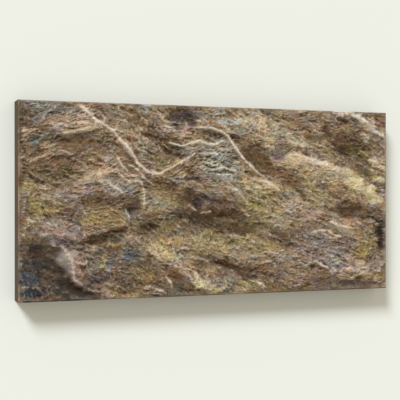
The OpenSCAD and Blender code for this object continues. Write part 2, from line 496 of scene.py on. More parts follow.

# patches of colour: swatch, strength, place, half sizes and turn
# the dark patches in the hollows and under the ledges are partly painted shade, the pale ones on
# the tops of the mounds and bosses partly painted light
STAINS: tuple[Stain, ...] = tuple(Stain.row(*row) for row in (
    # broad tones
    (S.UMBER, 0.4, -280, 116, 44, 34), (S.SAND, 0.35, -128, 120, 38, 22),
    (S.SAND, 0.35, 180, 116, 32, 28), (S.BROWN, 0.8, -230, 60, 80, 34),
    (S.EARTH, 0.6, -215, 52, 60, 26), (S.BROWN, 0.4, -130, 110, 80, 36),
    (S.UMBER, 0.75, -292, 110, 34, 46), (S.TAN, 0.5, -165, 125, 60, 26, -20),
    (S.SAND, 0.45, 80, 118, 86, 26, -12), (S.SAND, 0.5, 195, 40, 66, 22, -18),
    (S.EARTH, 0.95, -20, -22, 92, 38, -4), (S.BARK, 0.8, -58, -22, 26, 15, -6),
    (S.OLIVE, 0.6, 20, -66, 110, 22, -6), (S.KHAKI, 0.5, 20, -70, 80, 16, -8),
    (S.BROWN, 0.6, 225, 116, 80, 30), (S.BARK, 0.8, -250, -104, 60, 52, -10),
    (S.UMBER, 0.7, -125, -112, 60, 34), (S.KHAKI, 0.55, 88, -8, 52, 32, -16),
    (S.GREIGE, 0.5, 150, -10, 60, 24, -20), (S.LILAC, 0.6, 190, -75, 66, 38, -10),
    (S.UMBER, 0.4, 200, -55, 90, 22, -10), (S.BROWN, 0.6, 120, -120, 60, 30),
    # upper left
    (S.SLATE, 0.6, -280, 136, 38, 16), (S.SKY, 0.3, -290, 143, 16, 8),
    (S.UMBER, 0.6, -302, 124, 14, 14), (S.BLUE, 0.3, -266, 138, 30, 8),
    (S.FAWN, 0.75, -240, 114, 40, 13, 4), (S.FAWN, 0.75, -212, 134, 18, 14, -35),
    (S.RUST, 0.2, -255, 118, 22, 7), (S.EARTH, 0.75, -296, 106, 20, 9),
    (S.SLATE, 0.8, -288, 88, 16, 9), (S.EARTH, 0.95, -212, 90, 50, 9, 4),
    (S.TAN, 0.5, -184, 108, 16, 8, -30), (S.EARTH, 0.6, -186, 132, 14, 8, -20),
    (S.BROWN, 0.6, -160, 134, 22, 10), (S.EARTH, 0.85, -132, 126, 16, 10),
    (S.SKY, 0.8, -121, 142, 6, 12, -6), (S.RUST, 0.55, -151, 101, 12, 8, -40),
    (S.GREIGE, 0.6, -118, 92, 16, 9, -20), (S.SKY, 0.6, -124, 72, 8, 12, 30),
    (S.UMBER, 0.6, -98, 106, 22, 14, -40), (S.TAN, 0.4, -98, 136, 18, 10),
    (S.BARK, 0.72, -272, 40, 36, 16, -6), (S.MOSS, 0.7, -258, 36, 26, 10, -10),
    (S.TAN, 0.5, -196, 50, 40, 16, 10), (S.FAWN, 0.85, -196, 37, 36, 8, 14),
    (S.FAWN, 0.5, -150, 44, 18, 8, -10), (S.EARTH, 0.5, -148, 66, 10, 14, -30),
    # upper middle
    (S.PLUM, 1.0, -52, 133, 25, 17), (S.NIGHT, 0.7, -50, 132, 15, 11),
    (S.SKY, 0.75, -23, 130, 12, 6), (S.RUST, 0.3, -6, 144, 12, 6),
    (S.PINK, 0.7, -74, 111, 18, 9, -10), (S.PINK, 0.6, -64, 86, 14, 6, 0),
    (S.EARTH, 0.95, -78, 87, 42, 10, -32), (S.BARK, 0.5, -62, 76, 22, 7, -10),
    (S.OLIVE, 0.6, -96, 66, 18, 9, -10), (S.TAN, 0.7, -96, 46, 22, 7),
    (S.KHAKI, 0.6, -70, 56, 20, 6, 22), (S.EARTH, 0.9, -48, 52, 15, 9),
    (S.GREIGE, 0.9, 0, 76, 42, 27), (S.GREIGE, 0.9, 14, 46, 38, 25, -20),
    (S.SLATE, 0.5, 8, 60, 30, 26), (S.SKY, 0.3, 2, 74, 26, 12), (S.SKY, 0.3, 16, 42, 20, 12),
    (S.UMBER, 0.8, 5, 103, 14, 7), (S.SHADE_WASH, 0.6, -30, 8, 20, 9), (S.EARTH, 0.95, -80, 22, 24, 13),
    (S.SKY, 0.7, 40, 126, 24, 11, -10), (S.SLATE, 0.6, 46, 110, 16, 9, -20),
    (S.SAND, 0.75, 84, 128, 26, 12, -35), (S.STRAW, 0.45, 86, 104, 26, 9, -20),
    (S.STRAW, 0.5, 142, 104, 36, 9, -12), (S.SKY, 0.6, 114, 108, 16, 9, -15),
    (S.EARTH, 0.95, 86, 66, 36, 17, -26), (S.MOSS, 0.6, 78, 70, 26, 10, -26),
    (S.EARTH, 0.8, 50, 92, 14, 9, -40), (S.EARTH, 0.8, 102, 54, 16, 14),
    # upper right
    (S.BROWN, 0.6, 160, 132, 40, 14), (S.FAWN, 0.4, 196, 134, 10, 10),
    (S.PLUM, 0.35, 218, 128, 24, 12, -20), (S.EARTH, 0.95, 234, 100, 48, 24, -14),
    (S.BARK, 0.6, 236, 104, 36, 14, -14), (S.PLUM, 0.3, 218, 112, 26, 9, -12),
    (S.BARK, 0.6, 242, 86, 30, 9, -10), (S.MOSS, 0.75, 268, 72, 28, 14, -30),
    (S.MOSS, 0.85, 278, 48, 26, 10, -25), (S.BROWN, 0.7, 300, 91, 12, 13),
    (S.STRAW, 0.85, 296, 65, 18, 7, -10), (S.KHAKI, 0.8, 304, 34, 14, 9, -10),
    (S.CREAM, 0.85, 230, 148, 22, 5), (S.SAND, 0.8, 272, 132, 30, 6, -34),
    (S.RUST, 0.4, 300, 138, 10, 9), (S.SKY, 0.5, 268, 110, 9, 9),
    (S.SAND, 0.9, 136, 66, 30, 11, -4), (S.TAN, 0.5, 128, 64, 18, 9, -4),
    (S.LILAC, 0.8, 108, 76, 12, 10, -20), (S.EARTH, 0.8, 172, 104, 15, 9, -10),
    (S.SAND, 0.85, 182, 60, 36, 9, -8), (S.SAND, 0.5, 190, 42, 48, 18, -16),
    (S.KHAKI, 0.4, 172, 36, 34, 12, -16), (S.TAN, 0.7, 218, 46, 26, 9, -16),
    (S.STRAW, 0.95, 252, 32, 26, 10, -34), (S.STRAW, 1.0, 277, 13, 28, 11, -38),
    (S.STRAW, 0.8, 281, 11, 22, 7, -36), (S.STRAW, 0.35, 303, -1, 14, 7, -30),
    (S.TAN, 0.4, 200, 84, 34, 8, -10),
    # middle left
    (S.KHAKI, 0.55, -298, 22, 18, 10, -30), (S.BARK, 0.6, -304, 0, 9, 9),
    (S.LIME, 0.5, -286, -2, 18, 12), (S.SLATE, 0.5, -262, 6, 18, 11),
    (S.OCHRE, 0.6, -262, -12, 22, 11), (S.STRAW, 0.35, -290, -28, 20, 8),
    (S.LILAC, 0.85, -218, 17, 24, 15), (S.GREIGE, 0.8, -160, 20, 36, 15, 4),
    (S.LILAC, 0.6, -166, 14, 30, 10, 4), (S.SKY, 0.4, -156, 26, 20, 7),
    (S.EARTH, 0.8, -184, 4, 18, 8), (S.PLUM, 0.9, -138, -9, 16, 10),
    (S.OCHRE, 0.8, -182, -26, 34, 16, -6), (S.EARTH, 0.5, -196, -6, 14, 8, -20),
    (S.TAN, 0.35, -168, -30, 20, 12, -20), (S.KHAKI, 0.6, -96, 2, 26, 18),
    (S.GREIGE, 0.7, -100, -2, 18, 14), (S.PINK, 0.5, -84, -14, 14, 7),
    (S.FAWN, 0.85, -252, -46, 42, 13, -10), (S.LILAC, 0.8, -248, -46, 40, 13, -12),
    (S.OLIVE, 0.7, -130, -32, 16, 14), (S.BARK, 0.8, -174, -54, 38, 8, 2),
    (S.MOSS, 0.9, -108, -41, 24, 11, 6), (S.BARK, 0.85, -108, -42, 18, 8, 6),
    (S.MOSS, 0.7, -76, -26, 22, 10),
    # middle
    (S.BARK, 1.0, -36, 6, 34, 18, -8), (S.PLUM, 0.6, -18, 8, 34, 12, -14),
    (S.BARK, 1.0, -30, -26, 44, 17, -6), (S.BARK, 1.0, 22, -28, 46, 18, -8),
    (S.MOSS, 0.6, 38, -34, 34, 16, -6), (S.LILAC, 0.6, 40, 6, 20, 7, -32),
    (S.GREIGE, 0.5, 34, 18, 18, 7, -20), (S.GOLD, 0.95, 84, 27, 40, 12, -12),
    (S.GOLD, 0.6, 60, 33, 18, 8), (S.RUST, 0.4, 116, 36, 24, 12, -38),
    (S.EARTH, 0.7, 124, 30, 24, 9, -38), (S.MOSS, 0.85, 150, 14, 24, 8, -28),
    (S.KHAKI, 0.7, 64, -4, 18, 13), (S.EARTH, 0.5, 70, -22, 14, 8),
    (S.MOSS, 0.9, 64, -48, 32, 10, -4), (S.BARK, 0.4, 62, -48, 22, 7, -4),
    (S.OLIVE, 0.6, 94, -32, 26, 12, -20),
    # middle right
    (S.FAWN, 0.85, 148, -10, 34, 14, -20), (S.TAN, 0.6, 120, -34, 30, 14, -20),
    (S.KHAKI, 0.5, 196, 6, 22, 11), (S.EARTH, 0.95, 246, -18, 48, 14, -6),
    (S.BARK, 0.5, 240, -16, 32, 10, -6), (S.LILAC, 0.6, 288, -8, 18, 8, -20),
    (S.BARK, 0.85, 303, -60, 17, 34), (S.PLUM, 0.5, 302, -58, 11, 26),
    (S.RUST, 0.7, 191, -34, 14, 8, -20), (S.TAN, 0.85, 238, -48, 38, 12, -14),
    (S.RUST, 0.25, 240, -44, 30, 7, -14), (S.UMBER, 0.7, 292, -28, 18, 14, -10),
    (S.GREIGE, 0.5, 214, -100, 26, 16, -20), (S.OCHRE, 0.9, 270, -76, 15, 22),
    (S.EARTH, 0.8, 114, -58, 18, 10, -30), (S.SLATE, 0.7, 176, -62, 28, 11, -15),
    (S.BLUE, 0.4, 180, -66, 20, 7, -15), (S.SKY, 0.35, 212, -92, 18, 14),
    (S.BROWN, 0.45, 196, -38, 42, 28, -20), (S.EARTH, 0.5, -118, -46, 40, 20, 10),
    (S.BARK, 0.5, 34, -40, 46, 14, -6), (S.UMBER, 0.4, 276, -52, 34, 20, -10),
    # lower left
    (S.UMBER, 0.9, -284, -98, 42, 50, 10), (S.SHADE_WASH, 0.85, -272, -72, 32, 13, -8),
    (S.SHADE_WASH, 0.75, -252, -114, 34, 20, -42), (S.NIGHT, 0.5, -296, -106, 20, 36),
    (S.SHADE_WASH, 1.0, -216, -138, 40, 16, -24), (S.BLUE, 0.8, -304, -122, 14, 26),
    (S.NIGHT, 0.8, -300, -132, 18, 18), (S.LILAC, 1.0, -243, -88, 26, 15, -30),
    (S.FAWN, 0.7, -233, -89, 17, 13, -30), (S.PINK, 0.6, -226, -96, 8, 14, 10),
    (S.TAN, 0.7, -214, -78, 9, 9), (S.EARTH, 0.6, -196, -74, 20, 8),
    (S.SLATE, 0.6, -198, -92, 12, 12), (S.KHAKI, 0.85, -186, -92, 8, 11),
    (S.BLUE, 0.7, -170, -92, 9, 16), (S.SKY, 0.7, -169, -99, 3, 6),
    (S.SLATE, 0.8, -136, -86, 20, 11), (S.BLUE, 0.5, -140, -86, 14, 8),
    (S.OCHRE, 0.6, -172, -68, 12, 5), (S.PLUM, 0.8, -190, -112, 28, 12),
    (S.EARTH, 0.5, -122, -112, 28, 13, -15), (S.OCHRE, 0.4, -120, -112, 26, 12, -15),
    (S.SHADE_WASH, 0.95, -204, -144, 16, 6, -10), (S.FAWN, 0.6, -180, -140, 8, 10, -40),
    (S.OCHRE, 0.7, -164, -136, 8, 10), (S.OLIVE, 0.5, -134, -140, 18, 9),
    # lower middle
    (S.STRAW, 0.8, -80, -83, 34, 11, -14), (S.GOLD, 0.6, -54, -64, 36, 12),
    (S.FAWN, 0.6, -46, -108, 14, 9, -35), (S.EARTH, 0.6, -84, -112, 16, 9, -30),
    (S.EARTH, 0.95, -62, -134, 24, 15, -20), (S.SLATE, 0.4, -58, -136, 18, 10),
    (S.STRAW, 0.95, -26, -126, 20, 9, -38), (S.STRAW, 0.75, -2, -139, 18, 7, -20),
    (S.TAN, 0.5, 20, -84, 40, 9, -12), (S.EARTH, 1.0, 38, -107, 50, 11, -14),
    (S.BARK, 0.35, 56, -115, 30, 7, -10), (S.SLATE, 0.7, 14, -132, 18, 8, -20),
    (S.KHAKI, 0.9, 60, -134, 26, 9, -14), (S.TAN, 0.5, 92, -88, 34, 9, -10),
    (S.GREIGE, 0.5, 124, -96, 26, 9, -10), (S.BARK, 0.5, 16, -148, 30, 4),
    # lower right
    (S.PLUM, 0.8, 172, -112, 12, 9), (S.EARTH, 0.85, 128, -141, 38, 10),
    (S.OLIVE, 0.5, 118, -138, 26, 7), (S.BROWN, 0.8, 194, -128, 32, 10, -4),
    (S.UMBER, 0.8, 208, -140, 34, 9), (S.SKY, 0.85, 211, -115, 8, 5),
    (S.TAN, 0.5, 238, -116, 16, 7), (S.LILAC, 0.7, 250, -112, 44, 13, -6),
    (S.FAWN, 0.8, 270, -116, 26, 9, -6), (S.TAN, 0.6, 300, -104, 12, 16),
    (S.PLUM, 0.85, 262, -139, 34, 9), (S.PLUM, 0.4, 230, -143, 40, 6),
))

# small patches that keep their place, laid over the stains
# the small dark patches in the hollows are partly painted shade, and the pale ones on the
# lower-left boss partly painted light
TOUCHES: tuple[Stain, ...] = tuple(Stain.row(*row) for row in (
    # left
    (S.UMBER, 0.5, -302, 134, 13, 10), (S.SKY, 0.28, -268, 136, 14, 8),
    (S.BROWN, 0.25, -240, 121, 16, 8), (S.SAND, 0.8, -215, 107, 15, 6, 10),
    (S.TAN, 0.22, -204, 91, 34, 8, 6), (S.BLUE, 0.3, -286, 90, 12, 8),
    (S.SAND, 0.22, -260, 75, 16, 9), (S.FAWN, 0.6, -176, 60, 13, 10, -30),
    (S.SAND, 0.38, -268, 6, 24, 8, -12), (S.TAN, 0.25, -274, 42, 24, 9),
    (S.TAN, 0.25, -300, 45, 9, 8), (S.SAND, 0.2, -225, 16, 16, 8),
    (S.CREAM, 0.25, -195, 36, 16, 5, 14), (S.PLUM, 0.3, -149, 20, 14, 9),
    (S.EARTH, 0.55, -181, -20, 20, 10, -8), (S.LILAC, 0.55, -212, -16, 14, 10),
    (S.FAWN, 0.25, -201, -35, 9, 7), (S.OLIVE, 0.5, -260, -30, 16, 7, -10),
    (S.SKY, 0.4, -246, -90, 12, 9, -30), (S.SHADE_WASH, 0.75, -268, -102, 18, 14, -30),
    (S.UMBER, 0.4, -236, -130, 12, 8, -30), (S.UMBER, 0.22, -180, -136, 8, 8),
    (S.SHADE_WASH, 0.25, -190, -112, 20, 9), (S.NIGHT, 0.25, -136, -86, 16, 9),
    (S.EARTH, 0.6, -150, -138, 14, 8), (S.TAN, 0.2, -215, -60, 12, 6),
    (S.MOSS, 0.4, -300, -60, 10, 9), (S.BARK, 0.65, -105, -45, 14, 9),
    (S.OCHRE, 0.55, -92, -66, 17, 7, -20), (S.SAND, 0.5, -96, -95, 14, 6, -40),
    (S.EARTH, 0.6, -256, 23, 17, 5, -8), (S.SAND, 0.5, -238, 98, 13, 4, 4),
    (S.FAWN, 0.6, -218, -88, 8, 7),
    # middle
    (S.SKY, 0.62, -119, 141, 9, 9), (S.CREAM, 0.5, -95, 136, 14, 9), (S.SLATE, 0.5, 0, 140, 12, 8),
    (S.BROWN, 0.5, 26, 140, 12, 8), (S.CHALK, 0.2, 45, 126, 14, 9, -10),
    (S.CREAM, 0.35, 75, 130, 16, 9, -30), (S.SAND, 0.2, 100, 138, 14, 7),
    (S.SAND, 0.7, -76, 121, 11, 5, -10), (S.SAND, 0.45, -89, 127, 9, 6),
    (S.BROWN, 0.6, -27, 120, 11, 4), (S.GREIGE, 0.65, -12, 106, 10, 5, -5),
    (S.EARTH, 0.55, -10, 36, 9, 5), (S.EARTH, 0.6, 60, 43, 9, 5, -20),
    (S.STRAW, 0.55, 76, 12, 11, 6, -16), (S.KHAKI, 0.6, 62, -30, 10, 6, -10),
    (S.OCHRE, 0.3, -86, 86, 12, 7, -32), (S.BROWN, 0.25, -76, 56, 10, 5, 20),
    (S.SKY, 0.5, 0, 70, 14, 8), (S.BLUE, 0.3, 21, 60, 11, 7), (S.SHADE_WASH, 0.7, -37, 35, 14, 4),
    (S.FAWN, 0.35, -30, 22, 8, 5), (S.BARK, 0.8, -30, 8, 12, 8), (S.TAN, 0.6, 1, 10, 12, 8, -14),
    (S.CHALK, 0.22, 36, 12, 12, 7, -25), (S.GREIGE, 0.25, 50, 90, 10, 7),
    (S.RUST, 0.2, 75, 75, 12, 7, -26), (S.EARTH, 0.4, 106, 50, 9, 8),
    (S.BROWN, 0.3, 75, 105, 13, 8), (S.SAND, 0.45, 74, 28, 32, 8, -12),
    (S.STRAW, 0.36, -110, -10, 10, 7), (S.STRAW, 0.25, -86, -15, 9, 6),
    (S.KHAKI, 0.28, -60, -5, 11, 8), (S.TAN, 0.28, 30, -28, 28, 7, 4),
    (S.KHAKI, 0.2, -86, -42, 26, 12, -40), (S.MOSS, 0.9, 25, -65, 14, 9, -20),
    (S.GOLD, 0.4, 90, -70, 14, 8, -15), (S.GOLD, 0.6, -40, -90, 12, 8, -20),
    (S.OCHRE, 0.3, 10, -87, 26, 7, -14), (S.FAWN, 0.6, -60, -108, 9, 6, -30),
    (S.UMBER, 0.6, -70, -130, 9, 8), (S.GREIGE, 0.3, -50, -125, 8, 6),
    (S.UMBER, 0.6, 5, -115, 9, 7), (S.BROWN, 0.5, 60, -117, 14, 6),
    (S.TAN, 0.5, 42, -102, 13, 5, -14), (S.KHAKI, 0.3, 15, -130, 10, 6),
    (S.OLIVE, 0.8, 67, -136, 12, 7),
    # right
    (S.EARTH, 0.75, 190, 139, 10, 7), (S.FAWN, 0.25, 215, 130, 12, 8),
    (S.CREAM, 0.6, 256, 145, 13, 4), (S.SAND, 0.4, 264, 123, 8, 6, -34),
    (S.CREAM, 0.35, 304, 119, 9, 8), (S.CHALK, 0.7, 287, 119, 11, 5, -30),
    (S.CREAM, 0.3, 268, 110, 10, 6), (S.EARTH, 0.6, 172, 104, 11, 7),
    (S.BROWN, 0.6, 235, 108, 14, 9, -14), (S.EARTH, 0.3, 205, 90, 12, 7),
    (S.MOSS, 0.6, 262, 85, 10, 6), (S.MOSS, 0.8, 280, 78, 10, 7), (S.BROWN, 0.25, 298, 63, 10, 6),
    (S.MOSS, 0.5, 278, 50, 14, 6, -25), (S.STRAW, 0.5, 303, 32, 10, 6),
    (S.UMBER, 0.65, 110, 76, 9, 7), (S.BROWN, 0.45, 148, 79, 10, 4, -10),
    (S.CREAM, 0.5, 192, 59, 28, 6, -8), (S.CREAM, 0.35, 175, 61, 10, 5),
    (S.CREAM, 0.35, 225, 50, 12, 6, -20), (S.KHAKI, 0.85, 250, 40, 10, 6, -30),
    (S.STRAW, 0.8, 290, 8, 10, 6, -40), (S.BROWN, 0.6, 306, -4, 8, 6),
    (S.SAND, 0.5, 150, 45, 13, 8, -10), (S.BROWN, 0.3, 210, 35, 12, 7, -16),
    (S.SAND, 0.45, 235, 20, 12, 7, -20), (S.EARTH, 0.4, 150, 10, 13, 7, -20),
    (S.EARTH, 0.3, 210, 5, 12, 7), (S.UMBER, 0.2, 180, -10, 12, 8),
    (S.SAND, 0.5, 144, -23, 13, 6, -20), (S.SHADE_WASH, 0.65, 305, -44, 8, 8),
    (S.FAWN, 0.3, 160, -35, 12, 7, -20), (S.GOLD, 0.3, 255, -47, 18, 6, -8),
    (S.EARTH, 0.3, 270, -76, 11, 12), (S.UMBER, 0.3, 170, -60, 12, 6),
    (S.SAND, 0.3, 133, -88, 28, 8, -12), (S.UMBER, 0.2, 210, -95, 10, 8),
    (S.FAWN, 0.55, 240, -95, 12, 7, -15), (S.SAND, 0.5, 264, -104, 12, 6, -8),
    (S.BROWN, 0.9, 286, -116, 9, 8), (S.LILAC, 0.8, 172, -112, 9, 6),
    (S.CREAM, 0.6, 236, -118, 11, 6), (S.SAND, 0.75, 241, -128, 14, 5, -8),
    (S.FAWN, 0.5, 177, -104, 10, 4), (S.UMBER, 0.4, 120, -135, 14, 7),
    (S.SAND, 0.45, 300, -130, 9, 8), (S.LILAC, 0.25, 190, -130, 12, 6),
    # along the edges; the dark patches on the bottom and right edges are painted shade over slopes
    # that the key light brightens
    (S.NIGHT, 0.5, -288, -147, 24, 5), (S.SHADE_WASH, 1.0, -225, -147, 36, 6),
    (S.SAND, 0.35, -140, -146, 12, 5), (S.UMBER, 0.5, -66, -147, 24, 5),
    (S.SAND, 0.35, 40, -146, 12, 5), (S.EARTH, 0.5, 70, -147, 12, 5),
    (S.UMBER, 0.6, 160, -147, 46, 5), (S.UMBER, 1.0, 252, -147, 44, 5),
    (S.SAND, 0.5, 306, -146, 7, 6), (S.BROWN, 0.65, -206, 147, 15, 5),
    (S.SAND, 0.25, -150, 146, 12, 5), (S.SAND, 0.45, -100, 146, 14, 6),
    (S.SKY, 0.4, 0, 146, 12, 5), (S.BROWN, 0.4, 100, 147, 12, 5), (S.SAND, 0.45, 150, 146, 12, 5),
    (S.SLATE, 0.5, 308, 40, 6, 8), (S.CREAM, 0.4, 307, 11, 6, 7), (S.SHADE_WASH, 1.0, 310, -62, 8, 28),
    (S.UMBER, 0.95, -309, 88, 6, 14), (S.SAND, 0.35, -308, 60, 6, 9),
    (S.EARTH, 0.85, -309, 30, 6, 12), (S.UMBER, 0.6, -309, 0, 6, 12),
    (S.UMBER, 0.5, -309, -28, 6, 12), (S.GREIGE, 0.6, -308, -90, 6, 9),
))

# lines of colour: swatch, strength, half width and points
STREAKS: tuple[Streak, ...] = tuple(Streak.row(*row) for row in (
    (S.FAWN, 0.5, 6.0, (-222, 145), (-200, 125), (-172, 108), (-145, 85), (-130, 60)),
    (S.FAWN, 0.45, 4.0, (-4, 113), (18, 104), (30, 88), (45, 69), (58, 57), (66, 52)),
    (S.TAN, 0.4, 3.6, (-100, 41), (-70, 54), (-35, 75)),
    (S.CREAM, 0.95, 2.3, (-222, 145), (-215, 141), (-205, 133), (-195, 122), (-187, 118)),
    (S.CREAM, 0.9, 1.7, (-190, 120), (-180, 113), (-172, 107)),
    (S.CREAM, 0.95, 2.4, (-175, 109), (-165, 102), (-157, 93), (-150, 86)),
    (S.CREAM, 0.85, 1.8, (-152, 88), (-143, 80), (-137, 72)),
    (S.CREAM, 0.5, 3.8, (-176, 110), (-165, 100), (-150, 86), (-141, 77)),
    (S.CREAM, 0.85, 1.6, (-143, 80), (-137, 71), (-132, 60), (-129, 54)),
    (S.CREAM, 0.92, 1.5, (-133, 59), (-129, 55), (-122, 52), (-117, 47), (-111, 43), (-103, 43),
     (-95, 41)), (S.CREAM, 0.5, 2.6, (-114, 45), (-104, 42), (-94, 40)),
    (S.CREAM, 0.8, 1.2, (-147, 58), (-137, 54), (-127, 44), (-120, 35), (-112, 30), (-104, 25)),
    (S.CREAM, 0.9, 1.6, (-163, 70), (-160, 62), (-155, 53), (-148, 48), (-143, 45)),
    (S.SAND, 0.85, 1.8, (-250, 100), (-235, 103), (-220, 107), (-210, 112), (-195, 110)),
    (S.SAND, 0.9, 1.6, (-298, 57), (-285, 64), (-270, 69), (-262, 72)),
    (S.SAND, 0.7, 1.4, (-278, 80), (-265, 83), (-255, 86)),
    (S.SAND, 0.75, 1.4, (-312, 102), (-298, 105), (-285, 107)),
    (S.SAND, 0.85, 1.4, (-249, 77), (-242, 74), (-235, 70)),
    (S.SAND, 0.8, 1.3, (-226, 62), (-219, 59), (-212, 55)),
    (S.SAND, 0.8, 1.4, (-241, 41), (-232, 37), (-222, 33)),
    (S.CREAM, 0.8, 1.5, (-194, 30), (-181, 32), (-172, 25), (-163, 19), (-151, 12)),
    (S.CREAM, 0.8, 1.5, (-162, 44), (-153, 35), (-140, 29)),
    (S.SAND, 0.65, 3.6, (-225, 32), (-210, 33), (-190, 40), (-175, 45)),
    (S.FAWN, 0.7, 1.8, (-145, 30), (-125, 30), (-121, 20), (-120, 5), (-118, -10)),
    (S.CHALK, 0.92, 1.3, (-80, 92), (-70, 89), (-60, 87), (-54, 88), (-48, 89), (-42, 90),
     (-35, 93), (-28, 95), (-20, 92), (-10, 89), (0, 90), (8, 94), (13, 96)),
    (S.CREAM, 0.7, 1.3, (-30, 116), (-20, 113), (-12, 115), (-5, 114), (4, 112)),
    (S.CREAM, 0.95, 1.6, (-6, 114), (0, 113), (6, 111), (12, 108), (18, 104), (24, 96), (30, 87),
     (38, 77), (45, 69), (52, 62), (58, 57), (66, 53)),
    (S.CREAM, 0.6, 1.2, (62, 54), (72, 46), (78, 42), (87, 39)),
    (S.CREAM, 0.85, 1.7, (75, 33), (85, 31), (92, 26), (100, 22), (108, 17)),
    (S.STRAW, 0.85, 1.3, (-100, 41), (-92, 43), (-85, 48), (-78, 50)),
    (S.STRAW, 0.75, 1.3, (-76, 51), (-70, 54), (-60, 60), (-50, 64)),
    (S.STRAW, 0.85, 1.4, (-52, 63), (-42, 70), (-35, 75)),
    (S.SAND, 0.7, 1.4, (-97, 40), (-85, 42), (-76, 45)),
    (S.CREAM, 0.8, 1.4, (-49, 65), (-42, 70), (-34, 75)),
    (S.CHALK, 0.75, 1.3, (-34, 72), (-22, 76), (-8, 74), (6, 75), (18, 71)),
    (S.CHALK, 0.7, 1.3, (-26, 63), (-14, 61), (-2, 57), (10, 58)),
    (S.CHALK, 0.75, 1.3, (0, 51), (12, 53), (24, 50), (36, 47)),
    (S.CHALK, 0.7, 1.3, (-2, 43), (10, 40), (22, 42), (32, 38)),
    (S.SKY, 0.7, 1.3, (-16, 84), (-4, 82), (10, 84)),
    # dark lines between the pale flakes: painted shade in their grooves
    (S.SHADE_WASH, 0.55, 1.4, (-30, 68), (-16, 69), (0, 66), (14, 67)),
    (S.SHADE_WASH, 0.55, 1.4, (-6, 47), (8, 46), (20, 45), (32, 43)),
    (S.SHADE_WASH, 0.5, 1.4, (-18, 56), (-4, 53), (8, 47)),
    (S.FAWN, 0.85, 2.6, (15, 22), (27, 20), (33, 14), (42, 8), (50, 2)),
    (S.SAND, 0.7, 1.6, (42, -12), (50, -18), (60, -27)),
    (S.CREAM, 0.5, 4.0, (120, 72), (135, 76), (150, 73), (165, 69), (185, 65), (198, 58),
     (225, 50)),
    (S.STRAW, 0.6, 4.0, (225, 50), (240, 40), (252, 30), (262, 21), (272, 14), (284, 9),
     (296, 6), (308, 2)),
    (S.CHALK, 0.8, 2.3, (256, 143), (267, 136), (276, 128), (286, 121), (300, 114), (312, 107)),
    (S.CREAM, 0.85, 2.6, (283, 68), (297, 62), (311, 52)),
    (S.CREAM, 0.8, 2.2, (286, 34), (298, 38), (312, 34)),
    (S.CREAM, 0.7, 1.6, (172, 119), (185, 111)),
    (S.SAND, 0.6, 1.5, (260, 86), (272, 82), (282, 74)),
    (S.SAND, 0.6, 1.6, (-262, -15), (-250, -12), (-235, -8), (-225, -3)),
    (S.SAND, 0.5, 1.5, (-220, -30), (-215, -37), (-205, -40)),
    (S.SKY, 0.85, 2.4, (-151, -10), (-147, -18), (-143, -25), (-141, -30)),
    (S.SAND, 0.55, 1.5, (-143, -52), (-135, -55), (-128, -62), (-122, -68)),
    (S.PINK, 0.6, 2.5, (-250, -66), (-240, -75), (-233, -85), (-228, -95), (-230, -112),
     (-228, -120), (-215, -130), (-207, -135), (-195, -135), (-188, -142), (-185, -150)),
    (S.SAND, 0.5, 1.6, (-106, -80), (-98, -86), (-90, -95), (-80, -98)),
    (S.PINK, 0.5, 1.8, (-65, -100), (-55, -110), (-45, -118), (-42, -128)),
    (S.CREAM, 0.9, 1.6, (-86, -115), (-80, -122), (-74, -130), (-72, -135)),
    (S.CREAM, 0.9, 1.6, (-118, -133), (-110, -132), (-100, -137), (-85, -140)),
    (S.SAND, 0.8, 1.5, (-68, -36), (-58, -42)),
    (S.FAWN, 0.6, 1.8, (-10, -60), (4, -70), (22, -86)),
    (S.FAWN, 0.5, 1.8, (-66, -52), (-52, -60), (-40, -72)),
    (S.SAND, 0.85, 1.5, (-42, -9), (-37, -13), (-30, -15)),
    (S.SAND, 0.85, 1.5, (-24, -20), (-12, -19), (-5, -16)),
    (S.SAND, 0.8, 1.5, (-30, -90), (-18, -95), (-10, -101)),
    (S.CREAM, 0.95, 1.5, (70, -131), (78, -135), (87, -141)),
    (S.SAND, 0.6, 1.4, (76, -100), (95, -97)),
    (S.CREAM, 0.85, 1.7, (170, -53), (185, -49), (200, -50), (214, -58), (224, -60)),
    (S.CREAM, 0.8, 1.6, (190, -53), (203, -61), (217, -65)),
    (S.CREAM, 0.8, 2.0, (203, -34), (214, -39), (230, -43), (250, -46)),
    (S.FAWN, 0.8, 1.8, (222, -54), (240, -60), (262, -66)),
    (S.CREAM, 0.7, 1.6, (155, -107), (168, -104), (178, -100), (190, -108), (204, -116)),
    (S.SAND, 0.5, 1.5, (225, -125), (233, -133)),
    (S.FAWN, 0.8, 1.4, (-52, 30), (-44, 28), (-36, 27), (-28, 27), (-18, 22)),
    (S.STRAW, 0.8, 1.6, (138, 93), (147, 94), (155, 91), (163, 89)),
    # dark cracks: painted shade in the cracks and under the ledges
    (S.SHADE_WASH, 1.0, 4.0, (-52, 35), (-38, 35), (-24, 34)),
    (S.BARK, 0.8, 1.6, (118, 75), (126, 80), (132, 85), (138, 89)),
    (S.BARK, 0.7, 2.2, (136, 88), (146, 87), (155, 83)),
    (S.BARK, 0.9, 2.8, (151, 80), (159, 77), (168, 73)), (S.BARK, 0.7, 1.4, (168, 73), (177, 71)),
    (S.BARK, 0.6, 1.6, (181, 68), (190, 65)),
    (S.SHADE_WASH, 0.8, 2.0, (-205, -50), (-195, -54), (-185, -50), (-170, -47), (-148, -46)),
    (S.SHADE_WASH, 0.6, 4.0, (-25, -80), (0, -95), (20, -105), (50, -120), (75, -125)),
))

